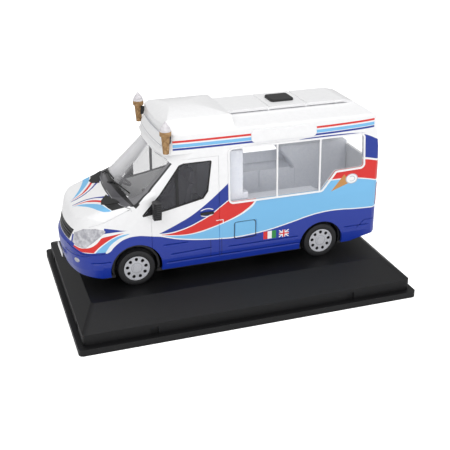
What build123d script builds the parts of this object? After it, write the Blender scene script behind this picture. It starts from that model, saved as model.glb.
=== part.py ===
from build123d import *
import os
from functools import lru_cache
from math import asin, cos, pi, sin

# Die-cast scale model of an ice cream van, screwed to its moulded display plinth.
# Millimetres. The origin is the centre of the plinth's underside, +Z is up, the van's nose
# points along -Y and its kerb side, with the serving hatch, faces +X.
# Heights of the van are measured from the plinth's deck, its road, and lifted at the end.

# Display plinth
plinth_length = 151.9
plinth_width = 97.6
plinth_corner = 2.0
flange_height = 2.9
tier_inset_side = 2.7
tier_inset_end = 2.2
tier_height = 7.9
deck_inset_side = 14.7
deck_inset_end = 6.7
deck_height = 13.5
plinth_wall = 1.8
clip_width = 3.4
clip_height = 3.4
clip_depth = 0.6
clip_spacing = 88.6
clip_end_spacing = 64.0

# Screws and posts that hold the van to the plinth
screw_axle_distance = 20.0
screw_radius = 1.5
screw_head_radius = 2.9
screw_head_height = 1.6
post_radius = 3.4
screw_hole_clearance = 0.15
screw_engagement = 5.0

# Wheels and axles
wheelbase = 85.2
front_axle_y = -45.3
tyre_radius = 8.1
tyre_width = 4.6
tyre_shoulder = 1.0
wheel_rim_radius = 5.6
wheel_face_x = 22.5
rim_lip = 0.5
trim_dish = 0.4
trim_hole_depth = 1.2
trim_holes = 9
trim_hole_radius = 0.62
trim_hole_circle = 4.0
trim_cap_radius = 1.55
road_gap = 0.3
axle_radius = 0.9
axle_running_clearance = 0.08
axle_end_setback = 1.2

# Van body, seen from the front
body_half_width = 23.1
roof_half_width = 21.9
sill_half_width = 22.5
sill_height = 6.0
sill_turn = 5.0
belt_height = 30.0
gutter_height = 64.8
body_wall = 1.2

# Van body, seen from the side
nose_y = -74.0
rear_y = 68.0
rear_lean = 3.8
rear_lean_height = 34.0
rear_corner_radius = 5.0
tail_bottom_rise = 2.6
nose_bottom_rise = 1.4
end_notch_length = 15.0
bonnet_front_y = -68.4
bonnet_front_height = 32.0
bonnet_slope = 0.378
bonnet_edge_height = 28.5
bonnet_edge_setback = 2.8
bonnet_edge_radius = 5.0
bonnet_shoulder = 5.6
nose_radius = 40.0
grille_radius = 55.0
nose_corner = 14.5
bumper_setback = 2.4
bumper_top = 20.0
cowl_y = -53.6
cowl_slope = 1.62
nose_overlap = 18.0
form_overlap = 0.2

# Windscreen: its line meets cowl_height above the road at screen_y
screen_y = -51.2
screen_height = 41.2
screen_slope = 0.9236
screen_radius = 75.0
screen_corner = 15.1
header_bottom = 57.1

# Roof moulding, with its heights above the gutter
header_front_y = -33.8
header_lean = 1.5
header_lean_rise = 2.4
roof_front_y = -30.8
header_radius = 150.0
header_corner = 4.0
brow_rise = 3.1
dome_rise = 7.6
dome_mid_y = -18.0
roof_edge_rise = 0.9
roof_edge_inset = 0.7
roof_shoulder_rise = 3.4
roof_rise = 5.1
roof_plateau_half_width = 10.4
roof_plateau_front = -0.6
roof_tail_length = 18.0
roof_wall = 1.2
roof_groove_width = 0.7
roof_groove_depth = 0.45
roof_groove_front = 18.3
roof_groove_rear = 35.8
vent_length = 10.7
vent_width = 9.6
vent_height = 1.1
vent_corner = 1.4

# Wheel arches
front_arch_radius = 11.2
rear_arch_radius = 10.5
rear_arch_drop = 0.9

# Windows, glass and the serving hatch
glass_thickness = 0.7
glass_recess = 0.3
fit_gap = 0.05
seal_width = 0.55
window_head_drop = 11.7
door_front = -43.0
door_rear = -11.4
door_post = -26.8
door_post_width = 1.2
hatch_front = -3.6
hatch_rear = 58.9
hatch_sill = 33.4
hatch_step = 42.0
hatch_head_drop = 8.0
hatch_rim = 0.8
hatch_rim_proud = 0.5
hatch_posts = (17.8, 37.8)
hatch_post_width = 0.7
offside_window_y = 26.0
offside_window_length = 36.0

# Signs
side_sign_front = 6.0
side_sign_rear = 35.6
side_sign_top_drop = 0.8
side_sign_height = 5.1
sign_proud = 0.7
front_sign_half_width = 17.4
front_sign_drop = 0.3
front_sign_height = 5.0

# Cone ornaments and their brackets
cone_x = 23.6
cone_y = -31.2
cone_drop = 6.1
cone_height = 9.5
cone_cup_height = 2.4
cone_flare = 0.6
cream_height = 4.1
cone_foot_radius = 1.25
cone_neck_radius = 1.75
cone_rim_radius = 2.4
bracket_width = 1.2
bracket_height = 3.6
bracket_reach = 4.6
bracket_turn = 137.0

# Chassis plate and wheel wells
chassis_bottom = 5.0
chassis_thickness = 1.6
chassis_clearance = 0.15
well_radius = 9.6
well_wall = 0.9
well_sides = 16
well_inner_x = 14.4
well_outer_x = 20.8
axle_block_half_width = 12.5
axle_block_length = 5.0
axle_block_top = 10.6
boss_top = 11.0
exhaust_radius = 1.0
exhaust_x = -9.0

# Interior
floor_height = 19.8
floor_thickness = 1.0
interior_gap = 0.35
bulkhead_y = -5.0
bulkhead_thickness = 1.2
counter_height = 32.6
counter_front_x = 14.5
cabinet_front_x = -9.0
cabinet_rear_y = 60.0
dash_front_y = -56.0
dash_rear_y = -46.0
dash_height = 34.5
binnacle_height = 37.2
console_half = 3.5
console_depth = 2.4
seat_pan_height = 28.5
seat_back_height = 46.5
driver_x = -11.0
driver_seat_width = 11.0
passenger_x = 8.0
passenger_seat_width = 18.0
seat_front_y = -33.0
seat_rear_y = -20.5
seat_length = 12.0
seat_thickness = 3.5
steering_y = -42.8
steering_height = 36.0
steering_radius = 4.4
rim_depth = 0.9
hub_radius = 1.1
column_radius = 0.7
column_length = 6.4

# Lamps, plates, vents, wipers, handles and mirrors
lamp_depth = 1.1
lamp_inner_x = 14.9
grille_top_half = 14.6
grille_bottom_half = 12.3
grille_top = 26.9
grille_bottom = 21.7
grille_recess = 0.8
grille_slats = 3
slat_height = 0.8
fog_lamp_x = 17.0
fog_lamp_height = 13.9
fog_lamp_radius = 1.1
plate_half_width = 6.0
plate_height = 2.5
plate_thickness = 0.3
front_plate_bottom = 11.0
rear_plate_bottom = 24.0
tail_lamp_height = 10.0
tail_lamp_bottom = 22.5
tail_lamp_half_width = 1.6
tail_lamp_x = 20.2
trim_proud = 0.2
panel_gap = 0.3
groove_depth = 0.3
handle_front = -17.0
handle_length = 6.0
handle_height = 29.2
handle_thickness = 1.2
handle_proud = 0.5
wiper_proud = 0.7
wiper_width = 0.55
mirror_inner_x = 23.8
mirror_width = 4.6
mirror_front = -38.2
mirror_depth = 3.2
mirror_bottom = 31.6
mirror_height = 7.4
mirror_corner = 1.0
mirror_arm = 1.4
mirror_base_proud = 0.4

wheel_centre_height = road_gap + tyre_radius
rear_axle_y = front_axle_y + wheelbase
screw_ys = (front_axle_y + screw_axle_distance, rear_axle_y - screw_axle_distance)
rear_top_y = rear_y - rear_lean
window_head = gutter_height - window_head_drop
hatch_head = gutter_height - hatch_head_drop
roof_height = gutter_height + roof_rise
door_height = window_head - belt_height
side_words = ((1, "left"), (-1, "right"))
reach = 2 * (plinth_length + gutter_height)
wide = 2 * body_half_width
form_half = body_half_width + form_overlap


def box(x0, x1, y0, y1, z0, z1):
    """Block between two corners."""
    centre = Pos((x0 + x1) / 2, (y0 + y1) / 2, (z0 + z1) / 2)
    return centre * Box(abs(x1 - x0), abs(y1 - y0), abs(z1 - z0))


def band(z0, z1):
    """Everything between two heights."""
    return box(-reach, reach, -reach, reach, z0, z1)


def x_cylinder(radius, x0, x1, y, z):
    """Cylinder across the van."""
    plane = Plane(origin=(x0, y, z), x_dir=(0, 1, 0), z_dir=(1, 0, 0))
    return extrude(plane * Circle(radius), amount=x1 - x0)


def upright(radius, y, z0, z1):
    """Upright cylinder on the van's middle line."""
    return Pos(0, y, z0) * Cylinder(radius, z1 - z0, align=(Align.CENTER, Align.CENTER, Align.MIN))


def side_prism(face, x0, x1):
    """Face in Y and Z, extruded across the van from x0 to x1."""
    plane = Plane(origin=(x0, 0, 0), x_dir=(0, 1, 0), z_dir=(1, 0, 0))
    return extrude(plane * face, amount=x1 - x0)


def outline(points, radii=0.0):
    """Flat face inside straight runs, with its corners rounded where radii are given."""
    if radii == 0.0:
        return make_face(Polyline(*points, close=True))
    return make_face(FilletPolyline(*points, radius=radii, close=True))


def mirrored(points):
    """Outline of a right half, closed by the same points on the left."""
    return outline(points + [(-x, z) for x, z in reversed(points)])


def inset_face(face, inset):
    """The same face with its edge moved in by inset, or out where inset is negative."""
    if inset == 0:
        return face
    return offset(face, amount=-inset, kind=Kind.INTERSECTION)


def crowned_face(tip, radius, half, corner, inset, back):
    """Face with a crowned front at tip, tangent corners and straight sides, cut square at back."""
    centre_x = half - corner
    turn = asin(centre_x / (radius - corner))
    centre_y = tip + radius - (radius - corner) * cos(turn)
    large = radius - inset
    small = corner - inset
    middle = (turn + pi / 2) / 2
    start = (large * sin(turn), tip + radius - large * cos(turn))
    knee = (centre_x + small * sin(middle), centre_y - small * cos(middle))
    end = (half - inset, centre_y)
    edge = ThreePointArc((-start[0], start[1]), (0, tip + inset), start)
    edge += ThreePointArc(start, knee, end)
    edge += Polyline(end, (end[0], back), (-end[0], back), (-end[0], end[1]))
    edge += ThreePointArc((-end[0], end[1]), (-knee[0], knee[1]), (-start[0], start[1]))
    return make_face(edge)


def sloped_plane(y, z, slope):
    """Plane square to a line that rises backwards at slope, with its own Y pointing into the van."""
    return Plane(origin=(0, y, z), x_dir=(1, 0, 0), z_dir=(0, 1, slope))


def section_prism(inset):
    """Front view of the body, with its tumblehome, extruded along the van."""
    right = [
        (sill_half_width, -reach),
        (sill_half_width, sill_height),
        (body_half_width, sill_height + sill_turn),
        (body_half_width, belt_height),
        (roof_half_width, gutter_height),
        (roof_half_width, reach),
    ]
    return extrude(Plane.XZ * inset_face(mirrored(right), inset), amount=reach, both=True)


def screen_form(y, z, slope, inset):
    """Everything behind a crowned front that leans back at slope through (y, z)."""
    face = crowned_face(0, screen_radius, form_half, screen_corner, inset, reach)
    return extrude(sloped_plane(y, z, slope) * face, amount=reach, both=True)


def tail_form(inset):
    """Plan of the body's rear end, with its rounded corners."""
    tail = Pos(0, (rear_y - reach) / 2, 0) * Rectangle(2 * form_half, rear_y + reach)
    tail = fillet(tail.vertices().group_by(Axis.Y)[-1], rear_corner_radius)
    return extrude(inset_face(tail, inset), amount=reach, both=True)


def cabin_form(inset):
    """The tall part of the van, from cowl and windscreen to tail, with every wall moved in."""
    side = [
        (cowl_y, -reach),
        (cowl_y, reach),
        (rear_top_y, reach),
        (rear_top_y, gutter_height),
        (rear_y, rear_lean_height),
        (rear_y, -reach),
    ]
    form = side_prism(inset_face(outline(side), inset), -wide, wide)
    form &= tail_form(inset)
    form &= section_prism(inset)
    form &= screen_form(screen_y, screen_height, screen_slope, inset)
    form &= screen_form(cowl_y, bonnet_height(cowl_y), cowl_slope, inset)
    return form


def header_form(inset):
    """Brow over the windscreen, which leans back to the roof's front."""
    stations = [
        (header_bottom + inset, header_front_y),
        (header_bottom + header_lean_rise, header_front_y + header_lean),
        (gutter_height, roof_front_y),
        (gutter_height + body_wall * 2, roof_front_y),
    ]
    half = roof_half_width + panel_gap
    back = roof_plateau_front
    faces = [
        Pos(0, 0, z) * crowned_face(y, header_radius, half, header_corner, inset, back)
        for z, y in stations
    ]
    return loft(faces, ruled=True) & section_prism(inset)


def bonnet_height(y):
    """Height of the bonnet's middle line at y."""
    return bonnet_front_height + (y - bonnet_front_y) * bonnet_slope


def nose_plan(inset):
    """Stack of crowned plans: bumper, grille and bonnet edge, each with its own setback."""
    stations = [
        (-belt_height, bumper_setback, nose_radius),
        (sill_height, bumper_setback, nose_radius),
        (sill_height + 4, bumper_setback - 1.4, nose_radius),
        (bumper_top - 3, 0, nose_radius),
        (bumper_top, 0, nose_radius),
        (bumper_top + 1.3, 1.1, grille_radius),
        (bonnet_edge_height, bonnet_edge_setback, grille_radius),
        (belt_height * 2, bonnet_edge_setback + 6.8, grille_radius),
    ]
    back = cowl_y + nose_overlap
    faces = [
        Pos(0, 0, z) * crowned_face(nose_y + step, radius, form_half, nose_corner, inset, back)
        for z, step, radius in stations
    ]
    return loft(faces, ruled=True)


def nose_form(inset):
    """Bonnet, wings and bumper ahead of the windscreen, with every wall moved in."""
    edge_run = bonnet_front_y - nose_y - bonnet_edge_setback
    edge_rise = bonnet_front_height - bonnet_edge_height
    low = (bonnet_front_y - wide * edge_run, bonnet_front_height - wide * edge_rise)
    side = outline(
        [
            low,
            (bonnet_front_y, bonnet_front_height),
            (reach, bonnet_height(reach)),
            (reach, -reach),
        ]
    )
    edge = side.vertices().sort_by_distance((bonnet_front_y, bonnet_front_height))[0]
    side = inset_face(fillet(edge, bonnet_edge_radius), inset)
    section = Pos(0, wide / 2) * Rectangle(2 * form_half, wide)
    shoulders = section.vertices().group_by(Axis.Y)[0]
    section = inset_face(fillet(shoulders, bonnet_shoulder), inset)
    plane = sloped_plane(bonnet_front_y, bonnet_front_height, bonnet_slope)
    form = side_prism(side, -wide, wide) & section_prism(inset)
    form &= extrude(plane * section, amount=reach, both=True)
    return form & nose_plan(inset)


@lru_cache
def van_form(inset):
    """Outer form of the whole painted body, moved in by inset."""
    return cabin_form(inset) + header_form(inset) + nose_form(inset)


def skin(outer, inner):
    """Thin layer of the body's form between two insets, for glass, panels and raised trim."""
    return van_form(outer) - van_form(inner)


def screen_prism(points, radius):
    """Outline across the windscreen and up its slope, cut square through it."""
    plane = Plane(
        origin=(0, screen_y, screen_height), x_dir=(1, 0, 0), z_dir=(0, -screen_slope, 1)
    )
    face = make_face(Polyline(*points, close=True))
    if radius:
        face = fillet(face.vertices(), radius)
    return extrude(plane * face, amount=10, both=True)


def stroke(points, width):
    """Thin band of one width along straight runs."""
    return trace(Polyline(*points), line_width=width)


# Outlines seen from the side, in Y and in height above the road
door_window = outline(
    [
        (door_front, belt_height + 1.6),
        (-34.4, belt_height + 0.47 * door_height),
        (-25.6, window_head - 0.8),
        (-23.6, window_head),
        (door_rear, window_head),
        (door_rear - 1.8, belt_height + 9.6),
        (door_rear - 4.0, belt_height + 6.6),
        (-31.0, belt_height + 3.4),
    ],
    0.6,
)
hatch_window = outline(
    [
        (hatch_front, hatch_sill),
        (hatch_front, hatch_head),
        (hatch_rear - 0.6, hatch_head),
        (hatch_rear, hatch_step),
        (hatch_rear - 13.4, hatch_step - 0.4),
        (hatch_rear - 20.0, hatch_sill),
    ],
    1.5,
)
offside_middle = Pos(offside_window_y, (hatch_sill + hatch_head) / 2)
offside_window = offside_middle * RectangleRounded(offside_window_length, hatch_head - hatch_sill, 2.0)
headlamp_outline = outline(
    [
        (nose_y + 2.6, grille_bottom + 0.6),
        (nose_y + 4.4, grille_top - 1.2),
        (nose_y + 7.8, belt_height - 1.6),
        (nose_y + 12.4, belt_height - 0.9),
        (nose_y + 17.0, belt_height - 2.0),
        (nose_y + 12.6, grille_bottom + 2.6),
        (nose_y + 7.8, grille_bottom - 1.5),
        (nose_y + 4.6, grille_bottom - 1.2),
    ],
    0.7,
)
handle_outline = Pos(handle_front + handle_length / 2, handle_height + handle_thickness / 2) * SlotOverall(
    handle_length, handle_thickness
)

# Outlines seen from the front, in X and in height above the road
grille_outline = mirrored([(grille_top_half, grille_top), (grille_bottom_half, grille_bottom)])
rear_window = Pos(0, (hatch_step + hatch_head) / 2) * RectangleRounded(31.0, hatch_head - hatch_step, 1.5)

# Lines between panels, seen from the side
side_lines = [
    [(-38.4, sill_height + 5), (-38.4, belt_height + 1.0), (door_front + 2.0, belt_height + 2.6)],
    [(-8.5, sill_height + 2), (-8.5, window_head + 1.6), (-24.5, window_head + 1.6)],
    [(-64.0, belt_height - 0.4), (-56.8, belt_height + 2.2), (-47.0, belt_height + 6.0)],
    [(-73.0, bumper_top + 0.6), (-67.6, bumper_top - 2.5), (-56.7, bumper_top - 2.4)],
    [(57.4, sill_height + 6.5), (61.0, sill_height + 10.0), (rear_y + 1, sill_height + 10.0)],
]
flap_line = [(-1.5, 15.9), (-1.3, 23.5), (8.5, 23.7), (8.7, 16.0)]


def front_prism(face, depth):
    """Face in X and height, cut into the nose from the front."""
    plane = Plane(origin=(0, nose_y - 1, 0), x_dir=(1, 0, 0), z_dir=(0, -1, 0))
    return extrude(plane * face, amount=-depth - 1)


def rear_prism(face):
    """Face in X and height, cut through the rear wall."""
    plane = Plane(origin=(0, rear_y + 1, 0), x_dir=(-1, 0, 0), z_dir=(0, 1, 0))
    return extrude(plane * face, amount=-rear_corner_radius - rear_lean)


def one_side(face, side, inner_x=body_half_width / 2):
    """Side outline as a prism through one side wall only."""
    return side_prism(face, side * inner_x, side * wide)


def end_notch(end_y, towards, rise):
    """Wedge under one end of the body, where its lower edge rises towards that end."""
    start = end_y - towards * end_notch_length
    low = sill_height - sill_turn
    points = [(start, sill_height), (end_y, sill_height + rise), (end_y + towards, low), (start, low)]
    return side_prism(outline(points), -wide, wide)


outer_form = van_form(0)
inner_form = van_form(body_wall)
van_band = band(sill_height, gutter_height)
groove_skin = (outer_form - van_form(groove_depth)) & van_band
glass_skin = skin(glass_recess, glass_recess + glass_thickness) & van_band
lamp_skin = skin(0, lamp_depth) & van_band
trim_skin = skin(-trim_proud, 0) & van_band
screen_low = [(-20.4, 3.0), (-12.0, 1.2), (12.0, 1.2), (20.4, 3.0)]
screen_high = [(19.6, 25.0), (12.0, 23.2), (-12.0, 23.2), (-19.6, 25.0)]
screen_hole = screen_prism(screen_low + screen_high, 1.0)
screen_pane = screen_prism(
    [(x * (1 - fit_gap / 20), v + fit_gap) for x, v in screen_low]
    + [(x * (1 - fit_gap / 20), v - fit_gap) for x, v in screen_high],
    1.0,
)


def plinth():
    """Hollow moulded plinth: flange, upright tier, sloping border and flat deck."""

    def stack(inset, level):
        width = plinth_width - 2 * inset
        length = plinth_length - 2 * inset
        flange = level(width, length)
        tier = level(width - 2 * tier_inset_side, length - 2 * tier_inset_end)
        deck_width = width - 2 * tier_inset_side - 2 * deck_inset_side
        deck = level(deck_width, length - 2 * tier_inset_end - 2 * deck_inset_end)
        slope = loft([Pos(0, 0, tier_height - inset) * tier, Pos(0, 0, deck_height - inset) * deck])
        steps = extrude(flange, amount=flange_height - inset) + extrude(tier, amount=tier_height - inset)
        return steps + slope

    def rounded(width, length):
        return RectangleRounded(width, length, plinth_corner)

    result = stack(0, rounded) - stack(plinth_wall, Rectangle)
    for y in screw_ys:
        result += upright(post_radius, y, screw_head_height, deck_height + chassis_bottom)
        result -= upright(screw_radius + screw_hole_clearance, y, -1, reach)
    side_x = plinth_width / 2 - tier_inset_side
    end_y = plinth_length / 2 - tier_inset_end
    for side in (-1, 1):
        low = flange_height + clip_height / 2
        for y in (-clip_spacing / 2, clip_spacing / 2):
            result -= Pos(side * side_x, y, low) * Box(2 * clip_depth, clip_width, clip_height)
        for x in (-clip_end_spacing / 2, clip_end_spacing / 2):
            result -= Pos(x, side * end_y, low) * Box(clip_width, 2 * clip_depth, clip_height)
    return result


def body_shell():
    """Painted body: hollow walls with the windows, arches, grille and lamp openings cut."""
    body = (outer_form - inner_form) & van_band
    body -= end_notch(rear_y + 1, 1, tail_bottom_rise + 1) + end_notch(nose_y, -1, nose_bottom_rise)
    body -= one_side(door_window, 1) + one_side(door_window, -1)
    body -= one_side(hatch_window, 1) + one_side(offside_window, -1)
    body -= rear_prism(rear_window)
    body -= screen_hole
    body -= x_cylinder(front_arch_radius, -wide, wide, front_axle_y, wheel_centre_height)
    body -= x_cylinder(rear_arch_radius, -wide, wide, rear_axle_y, wheel_centre_height - rear_arch_drop)
    body -= front_prism(grille_outline, lamp_inner_x)
    for side in (-1, 1):
        body -= side_prism(headlamp_outline, side * lamp_inner_x, side * wide)
        for line in side_lines:
            body -= one_side(stroke(line, panel_gap), side) & groove_skin
    body -= one_side(stroke(flap_line + flap_line[:1], panel_gap), 1) & groove_skin
    return body


def roof():
    """Moulded roof: domed front with an upright brow, then a raised plateau and rounded tail."""
    edge = (roof_half_width, gutter_height)
    shoulder = (roof_half_width - roof_edge_inset, gutter_height + roof_edge_rise)
    ridge = (roof_plateau_half_width, gutter_height + roof_shoulder_rise)
    low = outline([edge, shoulder, ridge] + [(-x, z) for x, z in (ridge, shoulder, edge)])
    rear = extrude(Plane.XZ * low, amount=reach, both=True)
    half = roof_plateau_half_width
    rear += box(-half, half, roof_plateau_front, reach, gutter_height, roof_height)
    mid = (roof_half_width * 0.72, gutter_height + dome_rise * 0.72)
    dome_edge = Polyline((-shoulder[0], shoulder[1]), (-edge[0], edge[1]), edge, shoulder)
    dome_edge += ThreePointArc(shoulder, (mid[0] + 1.2, mid[1] - 1.4), mid)
    dome_edge += ThreePointArc(mid, (0, gutter_height + dome_rise), (-mid[0], mid[1]))
    dome_edge += ThreePointArc((-mid[0], mid[1]), (-mid[0] - 1.2, mid[1] - 1.4), (-shoulder[0], shoulder[1]))
    front = extrude(Plane.XZ * make_face(dome_edge), amount=reach, both=True)
    tail_y = rear_top_y - roof_tail_length
    profile = Polyline((rear_top_y, gutter_height), (roof_front_y - 1, gutter_height))
    profile += Polyline((roof_front_y - 1, gutter_height), (roof_front_y - 1, gutter_height + brow_rise))
    profile += Line((roof_front_y - 1, gutter_height + brow_rise), (roof_front_y, gutter_height + brow_rise))
    profile += ThreePointArc(
        (roof_front_y, gutter_height + brow_rise),
        (roof_front_y + 3.6, gutter_height + 0.82 * dome_rise),
        (dome_mid_y, gutter_height + dome_rise),
    )
    profile += ThreePointArc(
        (dome_mid_y, gutter_height + dome_rise),
        ((dome_mid_y + roof_plateau_front) / 2, gutter_height + dome_rise - 0.5),
        (roof_plateau_front, roof_height),
    )
    profile += Line((roof_plateau_front, roof_height), (tail_y, roof_height))
    profile += ThreePointArc(
        (tail_y, roof_height),
        (tail_y + 0.66 * roof_tail_length, roof_height - 1.3),
        (rear_top_y, gutter_height),
    )
    length = side_prism(make_face(profile), -wide, wide)
    plan = crowned_face(roof_front_y, header_radius, roof_half_width, header_corner, 0, reach)
    solid = front & box(-wide, wide, -reach, roof_plateau_front, 0, reach)
    solid += rear & box(-wide, wide, roof_plateau_front, reach, 0, reach)
    solid = solid & length & extrude(plan, amount=reach) & tail_form(0)
    for y in (roof_groove_front, roof_groove_rear):
        half = roof_groove_width / 2
        solid -= box(-wide, wide, y - half, y + half, roof_height - roof_groove_depth, reach)
    inner = Pos(0, 0, -roof_wall) * solid
    edge_x = roof_half_width - roof_wall
    return solid - (inner & box(-edge_x, edge_x, roof_front_y + 5, rear_top_y - 4, 0, reach))


def roof_vent():
    """Low vent cover between the roof's two grooves."""
    middle = (roof_groove_front + roof_groove_rear) / 2
    cover = extrude(RectangleRounded(vent_width, vent_length, vent_corner), amount=vent_height)
    return Pos(0, middle, roof_height) * chamfer(cover.faces().sort_by(Axis.Z)[-1].edges(), vent_height / 3)


def front_sign():
    """Blank raised panel on the brow over the windscreen."""
    top = gutter_height - front_sign_drop
    raised = header_form(-sign_proud) - header_form(0)
    half = front_sign_half_width
    return raised & box(-half, half, header_front_y - 3, roof_front_y, top - front_sign_height, top)


def side_sign(side):
    """Blank raised panel over the hatch, with rounded ends."""
    middle_y = (side_sign_front + side_sign_rear) / 2
    middle_z = gutter_height - side_sign_top_drop - side_sign_height / 2
    face = Pos(middle_y, middle_z) * RectangleRounded(side_sign_rear - side_sign_front, side_sign_height, 1.6)
    return one_side(face, side) & skin(-sign_proud, 0)


def wafer_cone():
    """Flat-footed wafer cone: slim stem and a flared cup."""
    points = [
        (0, 0),
        (cone_foot_radius, 0),
        (cone_neck_radius, cone_height - cone_cup_height),
        (cone_rim_radius, cone_height - cone_cup_height + cone_flare),
        (cone_rim_radius, cone_height),
        (0, cone_height),
    ]
    return revolve(Plane.XZ * outline(points), axis=Axis.Z)


def ice_cream():
    """Pointed swirl of ice cream that fills the cup's rim."""
    points = [
        (0, cone_height),
        (cone_rim_radius - fit_gap, cone_height),
        (0.8 * cone_rim_radius, cone_height + 0.36 * cream_height),
        (0, cone_height + cream_height),
    ]
    return revolve(Plane.XZ * outline(points), axis=Axis.Z)


def cone_bracket():
    """Bracket from one cone back to the brow's rounded corner."""
    z = cone_height - cone_cup_height - bracket_height
    half = bracket_width / 2
    arm = Rot(0, 0, bracket_turn) * box(0, bracket_reach, -half, half, z, z + bracket_height)
    return arm - wafer_cone()


def tyre(side, y):
    """Plain tyre with chamfered shoulders, revolved about the axle."""
    depth = tyre_radius - wheel_rim_radius
    ring = Pos((tyre_radius + wheel_rim_radius) / 2, 0) * Rectangle(depth, tyre_width)
    ring = chamfer(ring.vertices().group_by(Axis.X)[-1], tyre_shoulder)
    mid = side * (wheel_face_x - tyre_width / 2 + fit_gap)
    plane = Plane(origin=(mid, y, wheel_centre_height), x_dir=(0, 0, 1), z_dir=(0, -1, 0))
    return revolve(plane * ring, axis=Axis((mid, y, wheel_centre_height), (1, 0, 0)))


def wheel(side, y):
    """Wheel disc with a dished trim, a ring of holes and a plain centre cap."""
    radius = wheel_rim_radius - fit_gap
    z = wheel_centre_height
    face_x = wheel_face_x
    disc = x_cylinder(radius, face_x - tyre_width + rim_lip, face_x, y, z)
    disc -= x_cylinder(radius - rim_lip, face_x - trim_dish, face_x + 1, y, z)
    cap = Plane(origin=(face_x - trim_dish, y, z), x_dir=(0, 1, 0), z_dir=(1, 0, 0))
    disc += extrude(cap * RegularPolygon(trim_cap_radius, 2 * trim_holes), amount=trim_dish)
    for k in range(trim_holes):
        angle = 2 * pi * k / trim_holes + pi / 2
        centre = (trim_hole_circle * cos(angle), trim_hole_circle * sin(angle))
        hole = cap * Pos(*centre) * RegularPolygon(trim_hole_radius, 8)
        disc -= extrude(hole, amount=-trim_hole_depth)
    disc -= x_cylinder(axle_radius + fit_gap, 0, face_x - axle_end_setback, y, z)
    return disc if side > 0 else mirror(disc, about=Plane.YZ)


def axle(y):
    """Plain steel rod between the two wheels of one axle."""
    half = wheel_face_x - axle_end_setback - fit_gap
    return x_cylinder(axle_radius, -half, half, y, wheel_centre_height)


def well_prism(radius, x0, x1, y):
    """Many-sided wheel well across part of the van."""
    plane = Plane(origin=(x0, y, wheel_centre_height), x_dir=(0, 1, 0), z_dir=(1, 0, 0))
    return extrude(plane * RegularPolygon(radius, well_sides), amount=x1 - x0)


def chassis():
    """Black moulded base: plate inside the sills, wheel wells, axle blocks and screw bosses."""
    top = chassis_bottom + chassis_thickness
    plate = van_form(body_wall + chassis_clearance) & band(chassis_bottom, top)
    notches = end_notch(rear_y + 1, 1, tail_bottom_rise + 1) + end_notch(nose_y, -1, nose_bottom_rise)
    plate -= notches
    for y in (front_axle_y, rear_axle_y):
        for side in (-1, 1):
            inner = side * well_inner_x
            plate -= well_prism(well_radius, inner, side * wide, y)
            well = well_prism(well_radius + well_wall, inner - side * well_wall, side * well_outer_x, y)
            well -= well_prism(well_radius, inner, side * wide, y)
            plate += well & band(chassis_bottom, reach)
        half = axle_block_half_width
        depth = axle_block_length / 2
        plate += box(-half, half, y - depth, y + depth, chassis_bottom, axle_block_top)
        clearance = axle_radius + axle_running_clearance
        plate -= x_cylinder(clearance, -wide, wide, y, wheel_centre_height)
    for y in screw_ys:
        plate += upright(post_radius, y, chassis_bottom, boss_top)
        plate -= upright(screw_radius + fit_gap, y, 0, boss_top - 1.0)
    pipe_front = front_axle_y + well_radius + 4
    pipe_rear = rear_axle_y - well_radius - 4
    pipe = Plane(origin=(exhaust_x, pipe_front, chassis_bottom), x_dir=(1, 0, 0), z_dir=(0, 1, 0))
    plate += extrude(pipe * RegularPolygon(exhaust_radius, 8), amount=pipe_rear - pipe_front) & band(0, top)
    return plate


def interior_slab(y0, y1, z0, z1):
    """Slab that fills the body's inside between two stations."""
    return van_form(body_wall + interior_gap) & box(-wide, wide, y0, y1, z0, z1)


steering_plane = Plane(origin=(driver_x, steering_y, steering_height), x_dir=(1, 0, 0), z_dir=(0, 0.55, 0.83))


def steering_column(clearance):
    """Column under the steering wheel's hub."""
    column = Cylinder(column_radius + clearance, column_length + 2 * clearance)
    return steering_plane * (Pos(0, 0, -column_length / 2) * column)


def dashboard():
    """Dashboard across the cab, with a raised binnacle ahead of the driver."""
    dash = interior_slab(dash_front_y, dash_rear_y, floor_height + floor_thickness, dash_height)
    half = driver_seat_width / 2
    hood = interior_slab(dash_front_y + 5, dash_rear_y, dash_height - 1, binnacle_height)
    dash += hood & box(driver_x - half, driver_x + half, -reach, reach, 0, reach)
    console_rear = dash_rear_y + console_depth
    top = dash_height - console_depth
    dash += box(-console_half, console_half, dash_rear_y, console_rear, floor_height + floor_thickness, top)
    return dash - steering_column(fit_gap)


def steering_wheel():
    """Ring, hub and spokes on the column."""
    rim = Cylinder(steering_radius, rim_depth) - Cylinder(steering_radius - rim_depth, 2 * rim_depth)
    spoke = Box(2 * steering_radius - rim_depth, rim_depth, rim_depth)
    hub = extrude(RegularPolygon(hub_radius, 8), amount=rim_depth / 2, both=True)
    return steering_plane * (rim + spoke + hub) + steering_column(0)


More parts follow.
